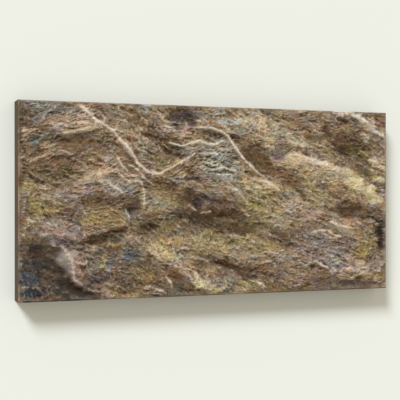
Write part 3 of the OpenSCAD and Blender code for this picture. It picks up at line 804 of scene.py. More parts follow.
# where the fine lines run one way: place, reach and turn
GRAINS: tuple[Grain, ...] = tuple(Grain(*row) for row in (
    (-270, 125, 60, 5), (-230, 60, 60, 16), (-165, 110, 34, -42), (-100, 110, 45, -45),
    (-70, 58, 18, 28), (-150, 20, 40, 10), (-14, 78, 30, -3), (18, 52, 30, -6), (-4, 50, 26, -5),
    (50, 115, 35, -25), (85, 70, 40, -32), (60, 20, 50, -30), (150, 60, 50, -12),
    (230, 40, 50, -32), (290, 0, 40, -42), (200, 120, 60, -18), (270, 80, 40, -35),
    (-280, 0, 50, -35), (-182, -25, 36, -28), (-250, -42, 36, -38), (-260, -100, 50, -55),
    (-200, -130, 40, -50), (-130, -90, 50, -35), (-50, -110, 40, -45), (-62, -52, 34, -46),
    (0, -20, 60, -8), (-10, -72, 70, -44), (90, -60, 60, -26), (190, -70, 60, -26),
    (240, -120, 60, -10), (60, -135, 50, -15),
))

# where the fine relief is smoother or coarser: share, place, half sizes and turn
WEARS: tuple[Wear, ...] = tuple(Wear.row(*row) for row in (
    (0.25, -226, 89, 44, 9, 4), (0.25, 146, 67, 44, 11, -4), (0.35, 78, 68, 34, 14, -30),
    (0.1, 240, 42, 30, 9, -24), (0.1, 277, 14, 34, 11, -38), (0.35, 280, 50, 16, 8, -20),
    (0.35, -200, 36, 32, 6, 14), (0.4, -136, -8, 16, 12), (0.4, -48, 136, 16, 12),
    (0.45, -40, 8, 26, 12), (0.15, -268, -84, 26, 30, 20), (0.15, -226, -132, 46, 20, -30),
    (0.4, -238, -88, 22, 16, -30), (0.4, 0, -26, 60, 18, -8), (0.35, 246, -16, 44, 12, -6),
    (0.3, 64, -48, 28, 9, -4), (0.3, 194, -130, 34, 10, -4), (0.3, 240, -140, 50, 8),
    (0.4, -62, -134, 20, 12), (0.4, 232, 92, 22, 10, -8), (0.5, 20, -110, 60, 10, -14),
    (0.6, 270, 128, 34, 8, -34), (1.5, 2, 66, 34, 34, -10), (1.25, 200, -80, 60, 34, -20),
    (1.3, -100, 100, 40, 30),
))


@dataclass(frozen=True)
class RockDrawing:
    """The rock face's broad forms and stains, drawn in millimetres from the face's middle."""

    FOLD_SHARE: ClassVar[float] = 0.6
    LUMP_SHARE: ClassVar[float] = 0.4
    # blur rounds, combing steps and depth in millimetres: fine lines, then coarser ones
    COMBS: ClassVar[tuple[tuple[int, int, float], ...]] = ((1, 2, 1.1), (6, 7, 1.6))
    COMB_SHARPNESS: ClassVar[float] = 1.4
    COMB_BEND: ClassVar[float] = 0.55
    STRAY_WEIGHT: ClassVar[float] = 0.15
    SHAKE_REACH: ClassVar[float] = 1.4
    BEND_REACH: ClassVar[Point] = (13, 9)
    TOUCH_BEND: ClassVar[float] = 0.3
    TAN_SHARE: ClassVar[float] = 0.45
    TONE_SWING: ClassVar[float] = 0.35
    WARM_SWING: ClassVar[float] = 0.08
    GREEN_SWING: ClassVar[float] = 0.04
    LIGHT_SWING: ClassVar[float] = 0.22

    border: float = 8.0
    grain_depth: float = 1.9
    grain_size: float = 30.0
    grain_turn: float = -18.0
    grain_stretch: float = 0.6
    warp_size: float = 38.0
    warp_reach: float = 7.0
    seed: int = 7

    def warped(self, x: Grid, y: Grid) -> tuple[Grid, Grid]:
        """Bends the drawing's lines a little, as broken stone's are.

        Args:
            x: Places along the face.
            y: Places up the face.

        Returns:
            The bent places.
        """
        wx = LatticeNoise(self.seed + 1).at(x / self.warp_size, y / self.warp_size)
        wy = LatticeNoise(self.seed + 2).at(x / self.warp_size, y / self.warp_size)
        return x + self.warp_reach * wx, y + self.warp_reach * wy

    def grain(self, x: Grid, y: Grid) -> Grid:
        """Lumps and folds between the broad forms, drawn out along the stone's grain.

        Args:
            x: Places along the face.
            y: Places up the face.

        Returns:
            The height at each place, in millimetres.
        """
        a = np.radians(self.grain_turn)
        u = (x * np.cos(a) + y * np.sin(a)) * self.grain_stretch / self.grain_size
        v = (y * np.cos(a) - x * np.sin(a)) / self.grain_size
        lumps = LatticeNoise(self.seed).at(u, v)
        folds = 0.6 - 2.0 * np.abs(LatticeNoise(self.seed + 3).at(2 * u, 2 * v))
        small = LatticeNoise(self.seed + 4).at(4 * u, 4 * v)
        return self.grain_depth * (lumps + self.FOLD_SHARE * folds + self.LUMP_SHARE * small)

    def height(self, x: Grid, y: Grid) -> Grid:
        """Height above the level of the arris, before the border fades it.

        Args:
            x: Places along the face.
            y: Places up the face.

        Returns:
            The height at each place, in millimetres.
        """
        xw, yw = self.warped(x, y)
        forms = sum(s.lift(xw, yw) for s in SWELLS)
        lines = sum(c.lift(x, y) for c in CRESTS)
        return forms + lines + self.grain(x, y)

    def detail(self, x: Grid, y: Grid) -> Grid:
        """Fine lines, thin crests and cracks that are too fine for the CAD solid.

        Args:
            x: Grid of places along the face.
            y: Grid of places up the face.

        Returns:
            The height at each place, in millimetres.
        """
        line_x, line_y = self.shaken(x, y)
        thin = sum(line.lift(line_x, line_y) for line in STREAKS)
        return thin + self.combed_relief(x, y) * self.wear(x, y)

    def shaken(self, x: Grid, y: Grid) -> tuple[Grid, Grid]:
        """Shakes the thin lines a little, so that they run unevenly."""
        along, up = SHAKE_ALONG.over(x, y), SHAKE_UP.over(x, y)
        return x + self.SHAKE_REACH * along, y + self.SHAKE_REACH * up

    def wear(self, x: Grid, y: Grid) -> Grid:
        """Share of the fine relief that is left.

        Args:
            x: Places along the face.
            y: Places up the face.

        Returns:
            The share at each place.
        """
        left = np.ones(x.shape)
        for place in WEARS:
            left *= 1.0 + (place.share - 1.0) * np.exp(-place.spot.squared_distance(x, y) ** 2)
        for line in STREAKS:
            left *= line.clearing(x, y)
        return left

    def combed_relief(self, x: Grid, y: Grid) -> Grid:
        """Fine ridges that follow the grain of each part of the face.

        Args:
            x: Grid of places along the face.
            y: Grid of places up the face.

        Returns:
            The height at each place, in millimetres.
        """
        turn = self.turn(x, y)
        rng = np.random.default_rng(self.seed)
        total = np.zeros(x.shape)
        for rounds, steps, depth in self.COMBS:
            noise = combed(softened(rng.standard_normal(x.shape), rounds), turn, steps)
            ridge = np.exp(-self.COMB_SHARPNESS * np.abs(noise))
            total += depth * (ridge - ridge.mean())
        return total

    def turn(self, x: Grid, y: Grid) -> Grid:
        """Direction of the stone's fine lines.

        Args:
            x: Places along the face.
            y: Places up the face.

        Returns:
            The direction at each place, in radians.
        """
        c = np.full(x.shape, self.STRAY_WEIGHT * np.cos(np.radians(2 * self.grain_turn)))
        s = np.full(x.shape, self.STRAY_WEIGHT * np.sin(np.radians(2 * self.grain_turn)))
        for g in GRAINS:
            weight = np.exp(-((x - g.x) ** 2 + (y - g.y) ** 2) / g.reach**2)
            c += weight * np.cos(np.radians(2 * g.turn))
            s += weight * np.sin(np.radians(2 * g.turn))
        return 0.5 * np.arctan2(s, c) + self.COMB_BEND * COMB_SWING.over(x, y)

    def tint(self, x: Grid, y: Grid) -> Grid:
        """The stone's colour, with the painted shade and light that its stains and streaks carry.

        Args:
            x: Places along the face.
            y: Places up the face.

        Returns:
            Red, green and blue at each place, scene-linear.
        """
        share = smooth(self.TAN_SHARE + self.TONE_SWING * TONE.over(x, y))[..., None]
        colour = S.UMBER.linear * (1 - share) + S.TAN.linear * share
        bend_x = self.BEND_REACH[0] * BEND_ALONG.over(x, y)
        bend_y = self.BEND_REACH[1] * BEND_UP.over(x, y)
        ragged = RAGGED.over(x, y)
        for marks, bend in ((STAINS, 1.0), (TOUCHES, self.TOUCH_BEND)):
            for mark in marks:
                cover = mark.cover(x + bend * bend_x, y + bend * bend_y, ragged)
                colour = mark.swatch.laid_over(colour, cover)
        warm, green, light = (layer.over(x, y)[..., None] for layer in (WARM, GREEN, LIGHT))
        hue = self.WARM_SWING * warm * WARM_HUE + self.GREEN_SWING * green * GREEN_HUE
        colour = colour * np.exp(hue + self.LIGHT_SWING * light)
        line_x, line_y = self.shaken(x, y)
        breaks = BREAKS.over(x, y)
        for line in STREAKS:
            colour = line.swatch.laid_over(colour, line.cover(line_x, line_y, breaks))
        grey = colour @ GREY_WEIGHTS
        richer = grey + COLOUR_GAIN * (colour - grey)
        return np.clip(richer * COLOUR_BALANCE, DARKEST, 1.0)


class Sketch:
    """Adds nodes to a node tree and joins them up."""

    COLUMN_WIDTH = 190
    ROW_HEIGHT = 160
    ROWS = 3

    def __init__(self, tree: bpy.types.NodeTree) -> None:
        """Starts at the left of an empty node tree."""
        self.tree = tree
        self._column = 0

    def add(
        self, kind: str, inputs: dict[Any, Any] | None = None, **settings: Any
    ) -> bpy.types.Node:
        """Adds a node.

        Args:
            kind: The node's type.
            inputs: Socket name or index to a value, or to the socket that feeds it.
            **settings: Properties of the node.

        Returns:
            The node.
        """
        node = self.tree.nodes.new(kind)
        row = self._column % self.ROWS
        node.location = (self._column * self.COLUMN_WIDTH, -row * self.ROW_HEIGHT)
        self._column += 1
        for name, value in settings.items():
            setattr(node, name, value)
        for key, value in (inputs or {}).items():
            if isinstance(value, bpy.types.NodeSocket):
                self.tree.links.new(value, node.inputs[key])
            else:
                node.inputs[key].default_value = value
        return node

    def math(self, operation: str, *values: Any) -> Socket:
        """A sum, product or the like of numbers or sockets."""
        return self.add("ShaderNodeMath", dict(enumerate(values)), operation=operation).outputs[0]

    def product(self, first: Any, *others: Any) -> Socket:
        """Multiplies numbers or sockets, one after the other.

        Args:
            first: The first factor.
            *others: The other factors.

        Returns:
            The socket with the product.
        """
        for other in others:
            first = self.math("MULTIPLY", first, other)
        return first

    def vector(self, operation: str, *values: Any) -> Socket:
        """The same for vectors."""
        node = self.add("ShaderNodeVectorMath", dict(enumerate(values)), operation=operation)
        return node.outputs["Value" if operation == "DOT_PRODUCT" else "Vector"]

    def remap(self, value: Any, span: Quad) -> Socket:
        """Maps a span (low, high, new low, new high) smoothly, held at its ends."""
        inputs = dict(enumerate((value, *span)))
        return self.add("ShaderNodeMapRange", inputs, interpolation_type="SMOOTHSTEP").outputs[0]

    def mix(self, share: Any, first: Any, second: Any, blend: str = "MIX") -> Socket:
        """Mixes two colours.

        Args:
            share: Share of the second colour.
            first: The first colour.
            second: The second colour.
            blend: Blender's name of the way of mixing.

        Returns:
            The socket with the colour.
        """
        inputs = {0: share, 6: first, 7: second}
        node = self.add("ShaderNodeMix", inputs, data_type="RGBA", blend_type=blend)
        return node.outputs[2]

    def split(self, vector: Any) -> Sequence[Socket]:
        """The three parts of a vector."""
        return self.add("ShaderNodeSeparateXYZ", {0: vector}).outputs

    def joined(self, x: Any, y: Any, z: Any) -> Socket:
        """A vector of three parts."""
        return self.add("ShaderNodeCombineXYZ", {0: x, 1: y, 2: z}).outputs[0]

    def noise(
        self, place: Any, scale: Any, detail: float, roughness: float = 0.5, **kind: Any
    ) -> Sequence[Socket]:
        """A fractal noise with its coarsest cells per metre: its value and its colour."""
        inputs = {"Vector": place, "Scale": scale, "Detail": detail, "Roughness": roughness}
        return self.add("ShaderNodeTexNoise", inputs, **kind).outputs


class RoughnessTree:
    """Geometry Nodes that break the drawn face into flakes, pits and grit."""

    NAME = "Rock roughness"
    NUMBERS: ClassVar[tuple[tuple[str, float], ...]] = (
        ("Crag size", 0.012),
        ("Crag depth", 0.0080),
        ("Ridge size", 0.010),
        ("Ridge depth", 0.0030),
        ("Flake size", 0.011),
        ("Flake depth", 0.0009),
        ("Grit size", 0.0034),
        ("Grit depth", 0.0016),
        ("Highest", 0.0436),
        ("Arris level", 0.036),
    )
    # how many finer layers each noise has, their strength, and its usual value
    NOISES: ClassVar[dict[str, Triple]] = {
        "Crag": (5.0, 0.68, 0.5),
        "Ridge": (4.0, 0.6, 0.05),
        "Grit": (2.0, 0.6, 0.5),
    }
    FINISHES = ("Rock face", "Cast body")
    ANY_EDGE = 0.0001
    ROUND_OFF = 0.0016
    GRAIN_TURN = 0.32
    GRAIN_SQUEEZE = (0.55, 1.0, 0.0)
    BEND_SCALE = 60.0
    BEND_REACH = (0.012, 0.012, 0.0)
    BEND_LAYERS = 2.0
    SHARD_TILT = 1.6
    HALF = (0.5, 0.5, 0.5)
    # stored name and rounds of blur: small bumps, and whole forms
    # the rock face's finish paints shade and light from these heights
    PROUD = (("proud", 6), ("raised", 40))

    def build(self) -> bpy.types.GeometryNodeTree:
        """Builds the tree.

        Returns:
            The node tree, with named inputs for each depth and size.
        """
        tree = bpy.data.node_groups.new(self.NAME, "GeometryNodeTree")
        face = tree.interface
        face.new_socket("Geometry", in_out="INPUT", socket_type="NodeSocketGeometry")
        for name, value in self.NUMBERS:
            socket = face.new_socket(name, in_out="INPUT", socket_type="NodeSocketFloat")
            socket.default_value = value
        for name in self.FINISHES:
            face.new_socket(name, in_out="INPUT", socket_type="NodeSocketMaterial")
        face.new_socket("Geometry", in_out="OUTPUT", socket_type="NodeSocketGeometry")
        s = Sketch(tree)
        given = s.add("NodeGroupInput").outputs
        edge = self._attribute(s, "edge")
        where = s.split(s.add("GeometryNodeInputPosition").outputs[0])
        high = s.math("ADD", where[2], self._lift(s, given, edge))
        high = s.math("SMOOTH_MIN", high, given["Highest"], self.ROUND_OFF)
        on_face = s.math("GREATER_THAN", edge, self.ANY_EDGE)
        z = s.add("GeometryNodeSwitch", {0: on_face, 1: where[2], 2: high}, input_type="FLOAT")
        place = s.joined(where[0], where[1], z.outputs[0])
        geometry = self._step(s, "SetPosition", given["Geometry"], Position=place)
        for name, rounds in self.PROUD:
            geometry = self._store_proud(s, geometry, name, rounds, edge, given["Arris level"])
        geometry = self._step(s, "SetMaterial", geometry, Material=given["Cast body"])
        face_only = {
            "Selection": self._attribute(s, "is_face", "BOOLEAN"),
            "Material": given["Rock face"],
        }
        geometry = self._step(s, "SetMaterial", geometry, **face_only)
        s.add("NodeGroupOutput", {0: self._step(s, "RealizeInstances", geometry)})
        return tree

    @staticmethod
    def _step(s: Sketch, kind: str, geometry: Any, **inputs: Any) -> Socket:
        """One step that changes the geometry."""
        return s.add("GeometryNode" + kind, {"Geometry": geometry, **inputs}).outputs[0]

    @staticmethod
    def _attribute(s: Sketch, name: str, kind: str = "FLOAT") -> Socket:
        """Reads a value stored on the mesh."""
        node = s.add("GeometryNodeInputNamedAttribute", {"Name": name}, data_type=kind)
        return node.outputs[0]

    def _lift(self, s: Sketch, given: Any, edge: Any) -> Socket:
        """Height of the rock above the level face.

        Args:
            s: The sketch of the tree.
            given: Sockets of the tree's inputs.
            edge: 0 at the arris and 1 on the face.

        Returns:
            The socket with the height, drawn forms and all.
        """
        place = self._bent_place(s)
        crags = self._bumps(s, place, given, "Crag")
        sharp = {"noise_type": "RIDGED_MULTIFRACTAL", "normalize": True}
        ridges = self._bumps(s, place, given, "Ridge", **sharp)
        flakes = self._shards(s, place, given["Flake size"], given["Flake depth"])
        grit = self._bumps(s, place, given, "Grit")
        forms = s.math("ADD", self._attribute(s, "drawn"), crags)
        broad = s.math("MULTIPLY", forms, self._attribute(s, "inside"))
        small = s.math("ADD", s.math("ADD", ridges, flakes), grit)
        wear, fine = self._attribute(s, "wear"), self._attribute(s, "fine")
        rough = s.math("MULTIPLY_ADD", small, wear, fine)
        return s.math("MULTIPLY_ADD", rough, edge, broad)

    def _bent_place(self, s: Sketch) -> Socket:
        """The place on the face, stretched along the stone's grain and bent by noise.

        Args:
            s: The sketch of the tree.

        Returns:
            The socket with the place.
        """
        position = s.add("GeometryNodeInputPosition").outputs[0]
        inputs = {"Vector": position, "Axis": (0, 0, 1), "Angle": self.GRAIN_TURN}
        turned = s.add("ShaderNodeVectorRotate", inputs, rotation_type="AXIS_ANGLE").outputs[0]
        long = s.vector("MULTIPLY", turned, self.GRAIN_SQUEEZE)
        noise = s.noise(position, self.BEND_SCALE, self.BEND_LAYERS)[1]
        bend = s.vector("MULTIPLY", s.vector("SUBTRACT", noise, self.HALF), self.BEND_REACH)
        return s.vector("ADD", long, bend)

    def _bumps(self, s: Sketch, place: Any, given: Any, name: str, **kind: Any) -> Socket:
        """Fractal bumps, centred on 0.

        Args:
            s: The sketch of the tree.
            place: Where the noise is read.
            given: Sockets of the tree's inputs.
            name: Name before "size" and "depth" among them.
            **kind: Properties of the noise node.

        Returns:
            The socket with the height.
        """
        detail, roughness, middle = self.NOISES[name]
        scale = s.math("DIVIDE", 1.0, given[name + " size"])
        noise = s.noise(place, scale, detail, roughness, **kind)[0]
        return s.math("MULTIPLY", s.math("SUBTRACT", noise, middle), given[name + " depth"])

    def _shards(self, s: Sketch, place: Any, size: Any, depth: Any) -> Socket:
        """Many small tilted planes that meet in steps, like split stone.

        Args:
            s: The sketch of the tree.
            place: Where the cells are read.
            size: Width of a plane.
            depth: Height of the steps.

        Returns:
            The socket with the height.
        """
        inputs = {"Vector": place, "Scale": s.math("DIVIDE", 1.0, size)}
        cells = s.add("ShaderNodeTexVoronoi", inputs, voronoi_dimensions="2D").outputs
        chance = s.vector("SUBTRACT", cells["Color"], self.HALF)
        offset = s.vector("SUBTRACT", place, cells["Position"])
        offset = s.vector("DIVIDE", offset, s.joined(size, size, size))
        tilt = s.vector("DOT_PRODUCT", s.vector("MULTIPLY", offset, (1.0, 1.0, 0.0)), chance)
        height = s.math("MULTIPLY_ADD", tilt, self.SHARD_TILT, s.split(chance)[2])
        return s.math("MULTIPLY", height, depth)

    def _store_proud(
        self, s: Sketch, geometry: Any, name: str, rounds: int, edge: Any, level: Any
    ) -> Socket:
        """Stores how far each place stands above its surroundings.

        Args:
            s: The sketch of the tree.
            geometry: The mesh.
            name: Name that the height is stored under.
            rounds: How far the surroundings reach, in rounds of blur.
            edge: 0 on the sides, which are taken as level, and above 0 on the face.
            level: Level of the arris.

        Returns:
            The socket with the mesh.
        """
        top = s.split(s.add("GeometryNodeInputPosition").outputs[0])[2]
        on_face = s.math("GREATER_THAN", edge, self.ANY_EDGE)
        z = s.math("MULTIPLY", s.math("SUBTRACT", top, level), on_face)
        inputs = {"Value": z, "Iterations": rounds}
        around = s.add("GeometryNodeBlurAttribute", inputs, data_type="FLOAT").outputs[0]
        inputs = {"Geometry": geometry, "Name": name, "Value": s.math("SUBTRACT", z, around)}
        kind = {"data_type": "FLOAT", "domain": "POINT"}
        return s.add("GeometryNodeStoreNamedAttribute", inputs, **kind).outputs[0]


# the flecks: how much finer the second noise is, gain of the shade and its lowest value
FINER = 3.7
SHADE_GAIN = 4.0
DARKEST_SHADE = 0.12


def speckle_group() -> bpy.types.ShaderNodeTree:
    """Mineral flecks and fine mottling, for every part of the casting.

    Returns:
        A group from Vector, Fleck scale and Contrast to a Shade factor and a bump Height.
    """
    tree = bpy.data.node_groups.new("Mineral speckle", "ShaderNodeTree")
    face = tree.interface
    face.new_socket("Vector", in_out="INPUT", socket_type="NodeSocketVector")
    for name, value in (("Fleck scale", 700.0), ("Contrast", 0.5)):
        socket = face.new_socket(name, in_out="INPUT", socket_type="NodeSocketFloat")
        socket.default_value = value
    for name in ("Shade", "Height"):
        face.new_socket(name, in_out="OUTPUT", socket_type="NodeSocketFloat")
    s = Sketch(tree)
    place, scale, contrast = list(s.add("NodeGroupInput").outputs)[:3]
    coarse = s.noise(place, scale, 4.0, 0.65)[0]
    fine = s.noise(place, s.math("MULTIPLY", scale, FINER), 3.0)[0]
    both = s.math("ADD", s.math("MULTIPLY", coarse, 0.5), s.math("MULTIPLY", fine, 0.5))
    swing = s.math("MULTIPLY", s.math("SUBTRACT", both, 0.5), contrast)
    shade = s.math("MULTIPLY_ADD", swing, SHADE_GAIN, 1.0)
    s.add("NodeGroupOutput", {0: s.math("MAXIMUM", shade, DARKEST_SHADE), 1: both})
    return tree


@dataclass(frozen=True)
class Finish(ABC):
    """What both finishes of the casting share: flecks, a fine bump and little gloss."""

    speckle: bpy.types.ShaderNodeTree
    name: str = "finish"
    fleck_scale: float = 300.0
    contrast: float = 0.5
    bump_strength: float = 0.5
    bump_depth: float = 0.0005
    specular: float = 0.3

    def build(self) -> bpy.types.Material:
        """Builds the material.

        Returns:
            The material.
        """
        material = bpy.data.materials.new(self.name)
        material.use_nodes = True
        tree = material.node_tree
        s = Sketch(tree)
        shader = tree.nodes["Principled BSDF"]
        place = s.add("ShaderNodeTexCoord").outputs["Object"]
        inputs = {"Vector": place, "Fleck scale": self.fleck_scale, "Contrast": self.contrast}
        flecks = s.add("ShaderNodeGroup", inputs, node_tree=self.speckle).outputs
        colour = self._colour(s, place, flecks["Shade"])
        tree.links.new(colour, shader.inputs["Base Color"])
        inputs = {
            "Strength": self.bump_strength,
            "Distance": self.bump_depth,
            "Height": flecks["Height"],
        }
        bump = s.add("ShaderNodeBump", inputs).outputs[0]
        tree.links.new(bump, shader.inputs["Normal"])
        self._roughen(s, shader, flecks["Height"])
        shader.inputs["Specular IOR Level"].default_value = self.specular
        return material

    @abstractmethod
    def _colour(self, s: Sketch, place: Any, shade: Any) -> Socket:
        """The base colour."""

    @abstractmethod
    def _roughen(self, s: Sketch, shader: bpy.types.Node, height: Any) -> None:
        """Sets the roughness."""


@dataclass(frozen=True)
class RockFaceFinish(Finish):
    """The stained face with pale dust, painted highlights and painted shade: it reads the tint and
    the heights stored on the mesh.

    A span turns a height above the surroundings, in metres, into a share or a factor.
    """

    name: str = "stained rock face"
    fleck_scale: float = 460.0
    contrast: float = 0.95
    bump_strength: float = 0.6
    bump_depth: float = 0.0006
    # pale dust on what stands proud, partly a painted highlight on the crests
    dust_and_highlight: Quad = (0.0001, 0.0011, 0.0, 0.68)
    # painted shade: darker in small pits and cracks, then in broad hollows
    pit_shade: Quad = (0.0, -0.0009, 1.0, 0.54)
    hollow_shade: Quad = (-0.0002, -0.0026, 1.0, 0.60)
    # painted light: lighter on the forms that stand above their surroundings
    lit: Quad = (0.0004, 0.0030, 1.0, 1.22)
    # the painted shade turns warmer as it darkens and the painted light cooler
    red_power: float = 0.88
    blue_power: float = 1.24
    # colour of the dust and painted highlight on proud bits
    paler: Triple = (2.0, 2.3, 2.95)
    palest: Triple = (0.60, 0.53, 0.44)
    highlight_powder: Quad = (0.52, 0.46, 0.38, 1.0)
    highlight_powder_share: float = 0.35
    roughness: Quad = (0.3, 0.7, 0.74, 0.92)

    def _colour(self, s: Sketch, place: Any, shade: Any) -> Socket:
        """The tint, with painted shade in pits and hollows, painted light on raised forms, and
        pale dust with a painted highlight on what stands proud.
        """
        tint = s.add("ShaderNodeAttribute", attribute_name="tint").outputs["Color"]
        proud, raised, edge = (
            s.add("ShaderNodeAttribute", attribute_name=name).outputs["Fac"]
            for name in ("proud", "raised", "edge")
        )
        # pale dust on proud bits, partly a painted highlight
        dust_and_highlight = s.product(s.remap(proud, self.dust_and_highlight), edge)
        # painted shade in pits, cracks and broad hollows
        low = s.product(s.remap(proud, self.pit_shade), s.remap(raised, self.hollow_shade))
        # painted light on raised forms, times the flecks
        dark = s.product(low, s.remap(raised, self.lit), shade)
        # the painted shade grows warmer, the painted light cooler
        red, blue = s.math("POWER", dark, self.red_power), s.math("POWER", dark, self.blue_power)
        cast = s.add("ShaderNodeCombineColor", {0: red, 1: dark, 2: blue}).outputs[0]
        stone = s.mix(1.0, tint, cast, "MULTIPLY")
        # the pale colour of the dust and painted highlight
        pale = s.vector("MINIMUM", s.vector("MULTIPLY", tint, self.paler), self.palest)
        return s.mix(dust_and_highlight, stone, s.mix(self.highlight_powder_share, pale, self.highlight_powder))

    def _roughen(self, s: Sketch, shader: bpy.types.Node, height: Any) -> None:
        """Lets the roughness follow the flecks."""
        s.tree.links.new(s.remap(height, self.roughness), shader.inputs["Roughness"])


@dataclass(frozen=True)
class CastBodyFinish(Finish):
    """The plain sides and back, as they leave the mould."""

    name: str = "cast body"
    contrast: float = 0.22
    bump_depth: float = 0.0004
    specular: float = 0.25
    colour: Quad = (0.076, 0.048, 0.027, 1.0)
    run_scale: Triple = (260.0, 260.0, 18.0)
    runs: Quad = (0.3, 0.7, 0.93, 1.06)
    roughness: float = 0.88

    def _colour(self, s: Sketch, place: Any, shade: Any) -> Socket:
        """One brown with flecks and faint upright runs."""
        stretched = s.vector("MULTIPLY", place, self.run_scale)
        runs = s.noise(stretched, 1.0, 3.0)[0]
        grey = s.product(shade, s.remap(runs, self.runs))
        cast = s.add("ShaderNodeCombineColor", {0: grey, 1: grey, 2: grey}).outputs[0]
        return s.mix(1.0, self.colour, cast, "MULTIPLY")

    def _roughen(self, s: Sketch, shader: bpy.types.Node, height: Any) -> None:
        """Sets one roughness for all of it."""
        shader.inputs["Roughness"].default_value = self.roughness


@dataclass
class CladdingTile:
    """The whole casting as one closed mesh, in metres."""

    EDGE_STRIP: ClassVar[float] = 1.8 * MM

    length: float = 0.625
    height: float = 0.300
    side: float = 0.036
    arris: float = 0.0015
    columns: int = 430
    rows: int = 206
    drawing: RockDrawing = field(default_factory=RockDrawing)

    def _lines(self, size: float, count: int) -> Grid:
        """Grid lines across one side: the edge, the arris, then even cells."""
        level = size / 2 - self.arris
        return np.concatenate(([-size / 2], np.linspace(-level, level, count + 1), [size / 2]))

    def _inside(self, x: Grid, y: Grid, border: float) -> Grid:
        """How far inside the arris each place lies.

        Args:
            x: Places along the tile, in metres.
            y: Places up the tile.
            border: Width of the strip.

        Returns:
            0 at the arris and 1 where the strip ends.
        """
        return smooth((self.length / 2 - self.arris - np.abs(x)) / border) * smooth(
            (self.height / 2 - self.arris - np.abs(y)) / border
        )

    def _plain_mesh(self) -> bpy.types.Mesh:
        """Builds the closed slab with a level face.

        Returns:
            The mesh, carrying the drawing as attributes.
        """
        xs, ys = self._lines(self.length, self.columns), self._lines(self.height, self.rows)
        x, y = np.meshgrid(xs, ys)
        outer = np.zeros(x.shape, bool)
        outer[[0, -1], :] = True
        outer[:, [0, -1]] = True
        z = np.where(outer, self.side - self.arris, self.side)
        index = np.arange(x.size).reshape(x.shape)
        cells = (index[:-1, :-1], index[:-1, 1:], index[1:, 1:], index[1:, :-1])
        faces: list[Sequence[int]] = np.stack(cells, -1).reshape(-1, 4).tolist()
        face_count = len(faces)
        points = [np.stack((x.ravel(), y.ravel(), z.ravel()), 1)]
        ring = np.concatenate((index[0, :-1], index[:-1, -1], index[-1, :0:-1], index[:0:-1, 0]))
        above, start = ring, x.size
        # one ring of points half way down the sides, and one round the back
        for share in (0.5, 0.0):
            below = start + np.arange(len(ring))
            loop = points[0][ring].copy()
            loop[:, 2] = (self.side - self.arris) * share
            points.append(loop)
            corners = (above, below, np.roll(below, -1), np.roll(above, -1))
            faces += np.stack(corners, 1).tolist()
            above, start = below, start + len(ring)
        faces.append(above[::-1].tolist())
        mesh = bpy.data.meshes.new("rock_face_tile")
        every = np.concatenate(points)
        mesh.from_pydata(every.tolist(), [], faces)
        self._store_drawing(mesh, x, y, len(every))
        flags = np.arange(len(faces)) < face_count
        mesh.attributes.new("is_face", "BOOLEAN", "FACE").data.foreach_set("value", flags)
        return mesh

    def _store_drawing(self, mesh: bpy.types.Mesh, x: Grid, y: Grid, count: int) -> None:
        """Stores the drawing on the face's points, which come first; the others get 0.

        Args:
            mesh: The slab.
            x: The face's points along the tile, in metres.
            y: The face's points up the tile.
            count: How many points the slab has.
        """
        xt, yt = x.ravel(), y.ravel()
        drawn = {
            "drawn": self.drawing.height(xt / MM, yt / MM) * MM,
            "fine": self.drawing.detail(x / MM, y / MM).ravel() * MM,
            "inside": self._inside(xt, yt, self.drawing.border * MM),
            "edge": self._inside(xt, yt, self.EDGE_STRIP),
            "wear": self.drawing.wear(xt / MM, yt / MM),
        }
        for name, value in drawn.items():
            whole = np.zeros(count, np.float32)
            whole[: x.size] = value
            mesh.attributes.new(name, "FLOAT", "POINT").data.foreach_set("value", whole)
        tint = np.ones((count, 4), np.float32)
        tint[: x.size, :3] = self.drawing.tint(xt / MM, yt / MM)
        attribute = mesh.attributes.new("tint", "FLOAT_COLOR", "POINT")
        attribute.data.foreach_set("color", tint.ravel())

    def build(
        self,
        tree: bpy.types.GeometryNodeTree,
        rock: bpy.types.Material,
        cast: bpy.types.Material,
        highest: float,
    ) -> bpy.types.Object:
        """Builds the tile.

        Args:
            tree: The Geometry Nodes that roughen the face.
            rock: Finish of the face.
            cast: Finish of the sides and back.
            highest: Level that no point of the rock may pass, in metres.

        Returns:
            The finished object, as a plain mesh.
        """
        rough = bpy.data.objects.new("rough", self._plain_mesh())
        bpy.context.scene.collection.objects.link(rough)
        modifier = rough.modifiers.new("rock", "NODES")
        modifier.node_group = tree
        sockets = {i.name: i.identifier for i in tree.interface.items_tree if i.in_out == "INPUT"}
        modifier[sockets["Highest"]] = highest
        modifier[sockets["Arris level"]] = self.side
        modifier[sockets["Rock face"]] = rock
        modifier[sockets["Cast body"]] = cast
        graph = bpy.context.evaluated_depsgraph_get()
        mesh = bpy.data.meshes.new_from_object(rough.evaluated_get(graph), depsgraph=graph)
        bpy.data.objects.remove(rough)
        mesh.name = "cladding_tile_visual"
        tile = bpy.data.objects.new("rock_face_casting", mesh)
        bpy.context.scene.collection.objects.link(tile)
        LOG.info("%s: %d faces", tile.name, len(mesh.polygons))
        return tile


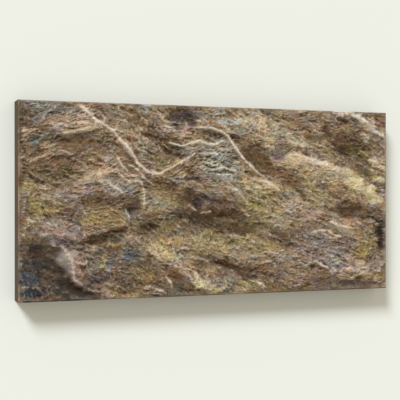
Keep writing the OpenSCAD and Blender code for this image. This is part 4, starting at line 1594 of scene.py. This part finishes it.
@dataclass(frozen=True)
class Studio:
    """Pale floor, soft light and the photograph's camera."""

    eye: Triple = (-0.5207, 0.0087, 1.3714)
    gaze: Triple = (0.3465, -0.0051, -0.9380)
    lens: float = 81.0
    sensor: float = 36.0
    clip: Point = (0.05, 100.0)
    key_from: Triple = (-0.55, 0.80, 0.62)
    key_power: float = 3.13
    key_colour: Triple = (0.915, 0.96, 1.0)
    key_angle: float = 0.30
    fill: float = 0.57
    fill_colour: Quad = (1.0, 0.95, 0.80, 1.0)
    floor_reach: float = 12.0
    floor_level: float = -0.0002
    floor_colour: Quad = (0.822, 0.834, 0.797, 1.0)
    floor_roughness: float = 0.7

    def build(self) -> None:
        """Adds floor, world, key light and camera."""
        self._floor()
        self._world()
        self._key()
        self._camera()
        LOG.info("studio: floor, world, key light and camera")

    def _floor(self) -> None:
        """A wide pale floor just below the tile."""
        mesh = bpy.data.meshes.new("floor")
        r = self.floor_reach
        mesh.from_pydata([(-r, -r, 0), (r, -r, 0), (r, r, 0), (-r, r, 0)], [], [(0, 1, 2, 3)])
        floor = bpy.data.objects.new("floor", mesh)
        floor.location.z = self.floor_level
        bpy.context.scene.collection.objects.link(floor)
        material = bpy.data.materials.new("pale floor")
        material.use_nodes = True
        shader = material.node_tree.nodes["Principled BSDF"]
        shader.inputs["Base Color"].default_value = self.floor_colour
        shader.inputs["Roughness"].default_value = self.floor_roughness
        mesh.materials.append(material)

    def _world(self) -> None:
        """Soft warm light from all sides."""
        world = bpy.data.worlds.new("studio")
        world.use_nodes = True
        back = world.node_tree.nodes["Background"]
        back.inputs["Color"].default_value = self.fill_colour
        back.inputs["Strength"].default_value = self.fill
        bpy.context.scene.world = world

    def _key(self) -> None:
        """One broad, slightly cool light from above the tile."""
        light = bpy.data.lights.new("key", "SUN")
        light.energy = self.key_power
        light.angle = self.key_angle
        light.color = self.key_colour
        lamp = bpy.data.objects.new("key", light)
        lamp.rotation_mode = "QUATERNION"
        lamp.rotation_quaternion = Vector(self.key_from).to_track_quat("Z", "Y")
        bpy.context.scene.collection.objects.link(lamp)

    def _camera(self) -> None:
        """A camera where the photograph's camera stood, as the tile lies down."""
        data = bpy.data.cameras.new("camera")
        data.lens, data.sensor_width = self.lens, self.sensor
        data.clip_start, data.clip_end = self.clip
        camera = bpy.data.objects.new("camera", data)
        ahead = Vector(self.gaze).normalized()
        right = ahead.cross(Vector((0, 1, 0))).normalized()
        up = right.cross(ahead)
        turn = Matrix((right, up, -ahead)).transposed().to_4x4()
        camera.matrix_world = Matrix.Translation(self.eye) @ turn
        bpy.context.scene.collection.objects.link(camera)
        bpy.context.scene.camera = camera


def main() -> None:
    """Builds the tile, its finishes, the floor, the light and the camera."""
    logging.basicConfig(level=logging.INFO)
    bpy.context.scene.view_settings.view_transform = "Standard"
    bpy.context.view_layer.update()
    node = "cladding_tile"
    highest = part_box(node)[1].z - 0.0001
    speckle = speckle_group()
    rock = RockFaceFinish(speckle).build()
    cast = CastBodyFinish(speckle).build()
    tile = CladdingTile().build(RoughnessTree().build(), rock, cast, highest)
    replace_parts(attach(tile, "root"), node)
    Studio().build()
    bpy.context.view_layer.update()


if __name__ == "__main__":
    bpy.ops.wm.read_factory_settings(use_empty=True)
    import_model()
    main()
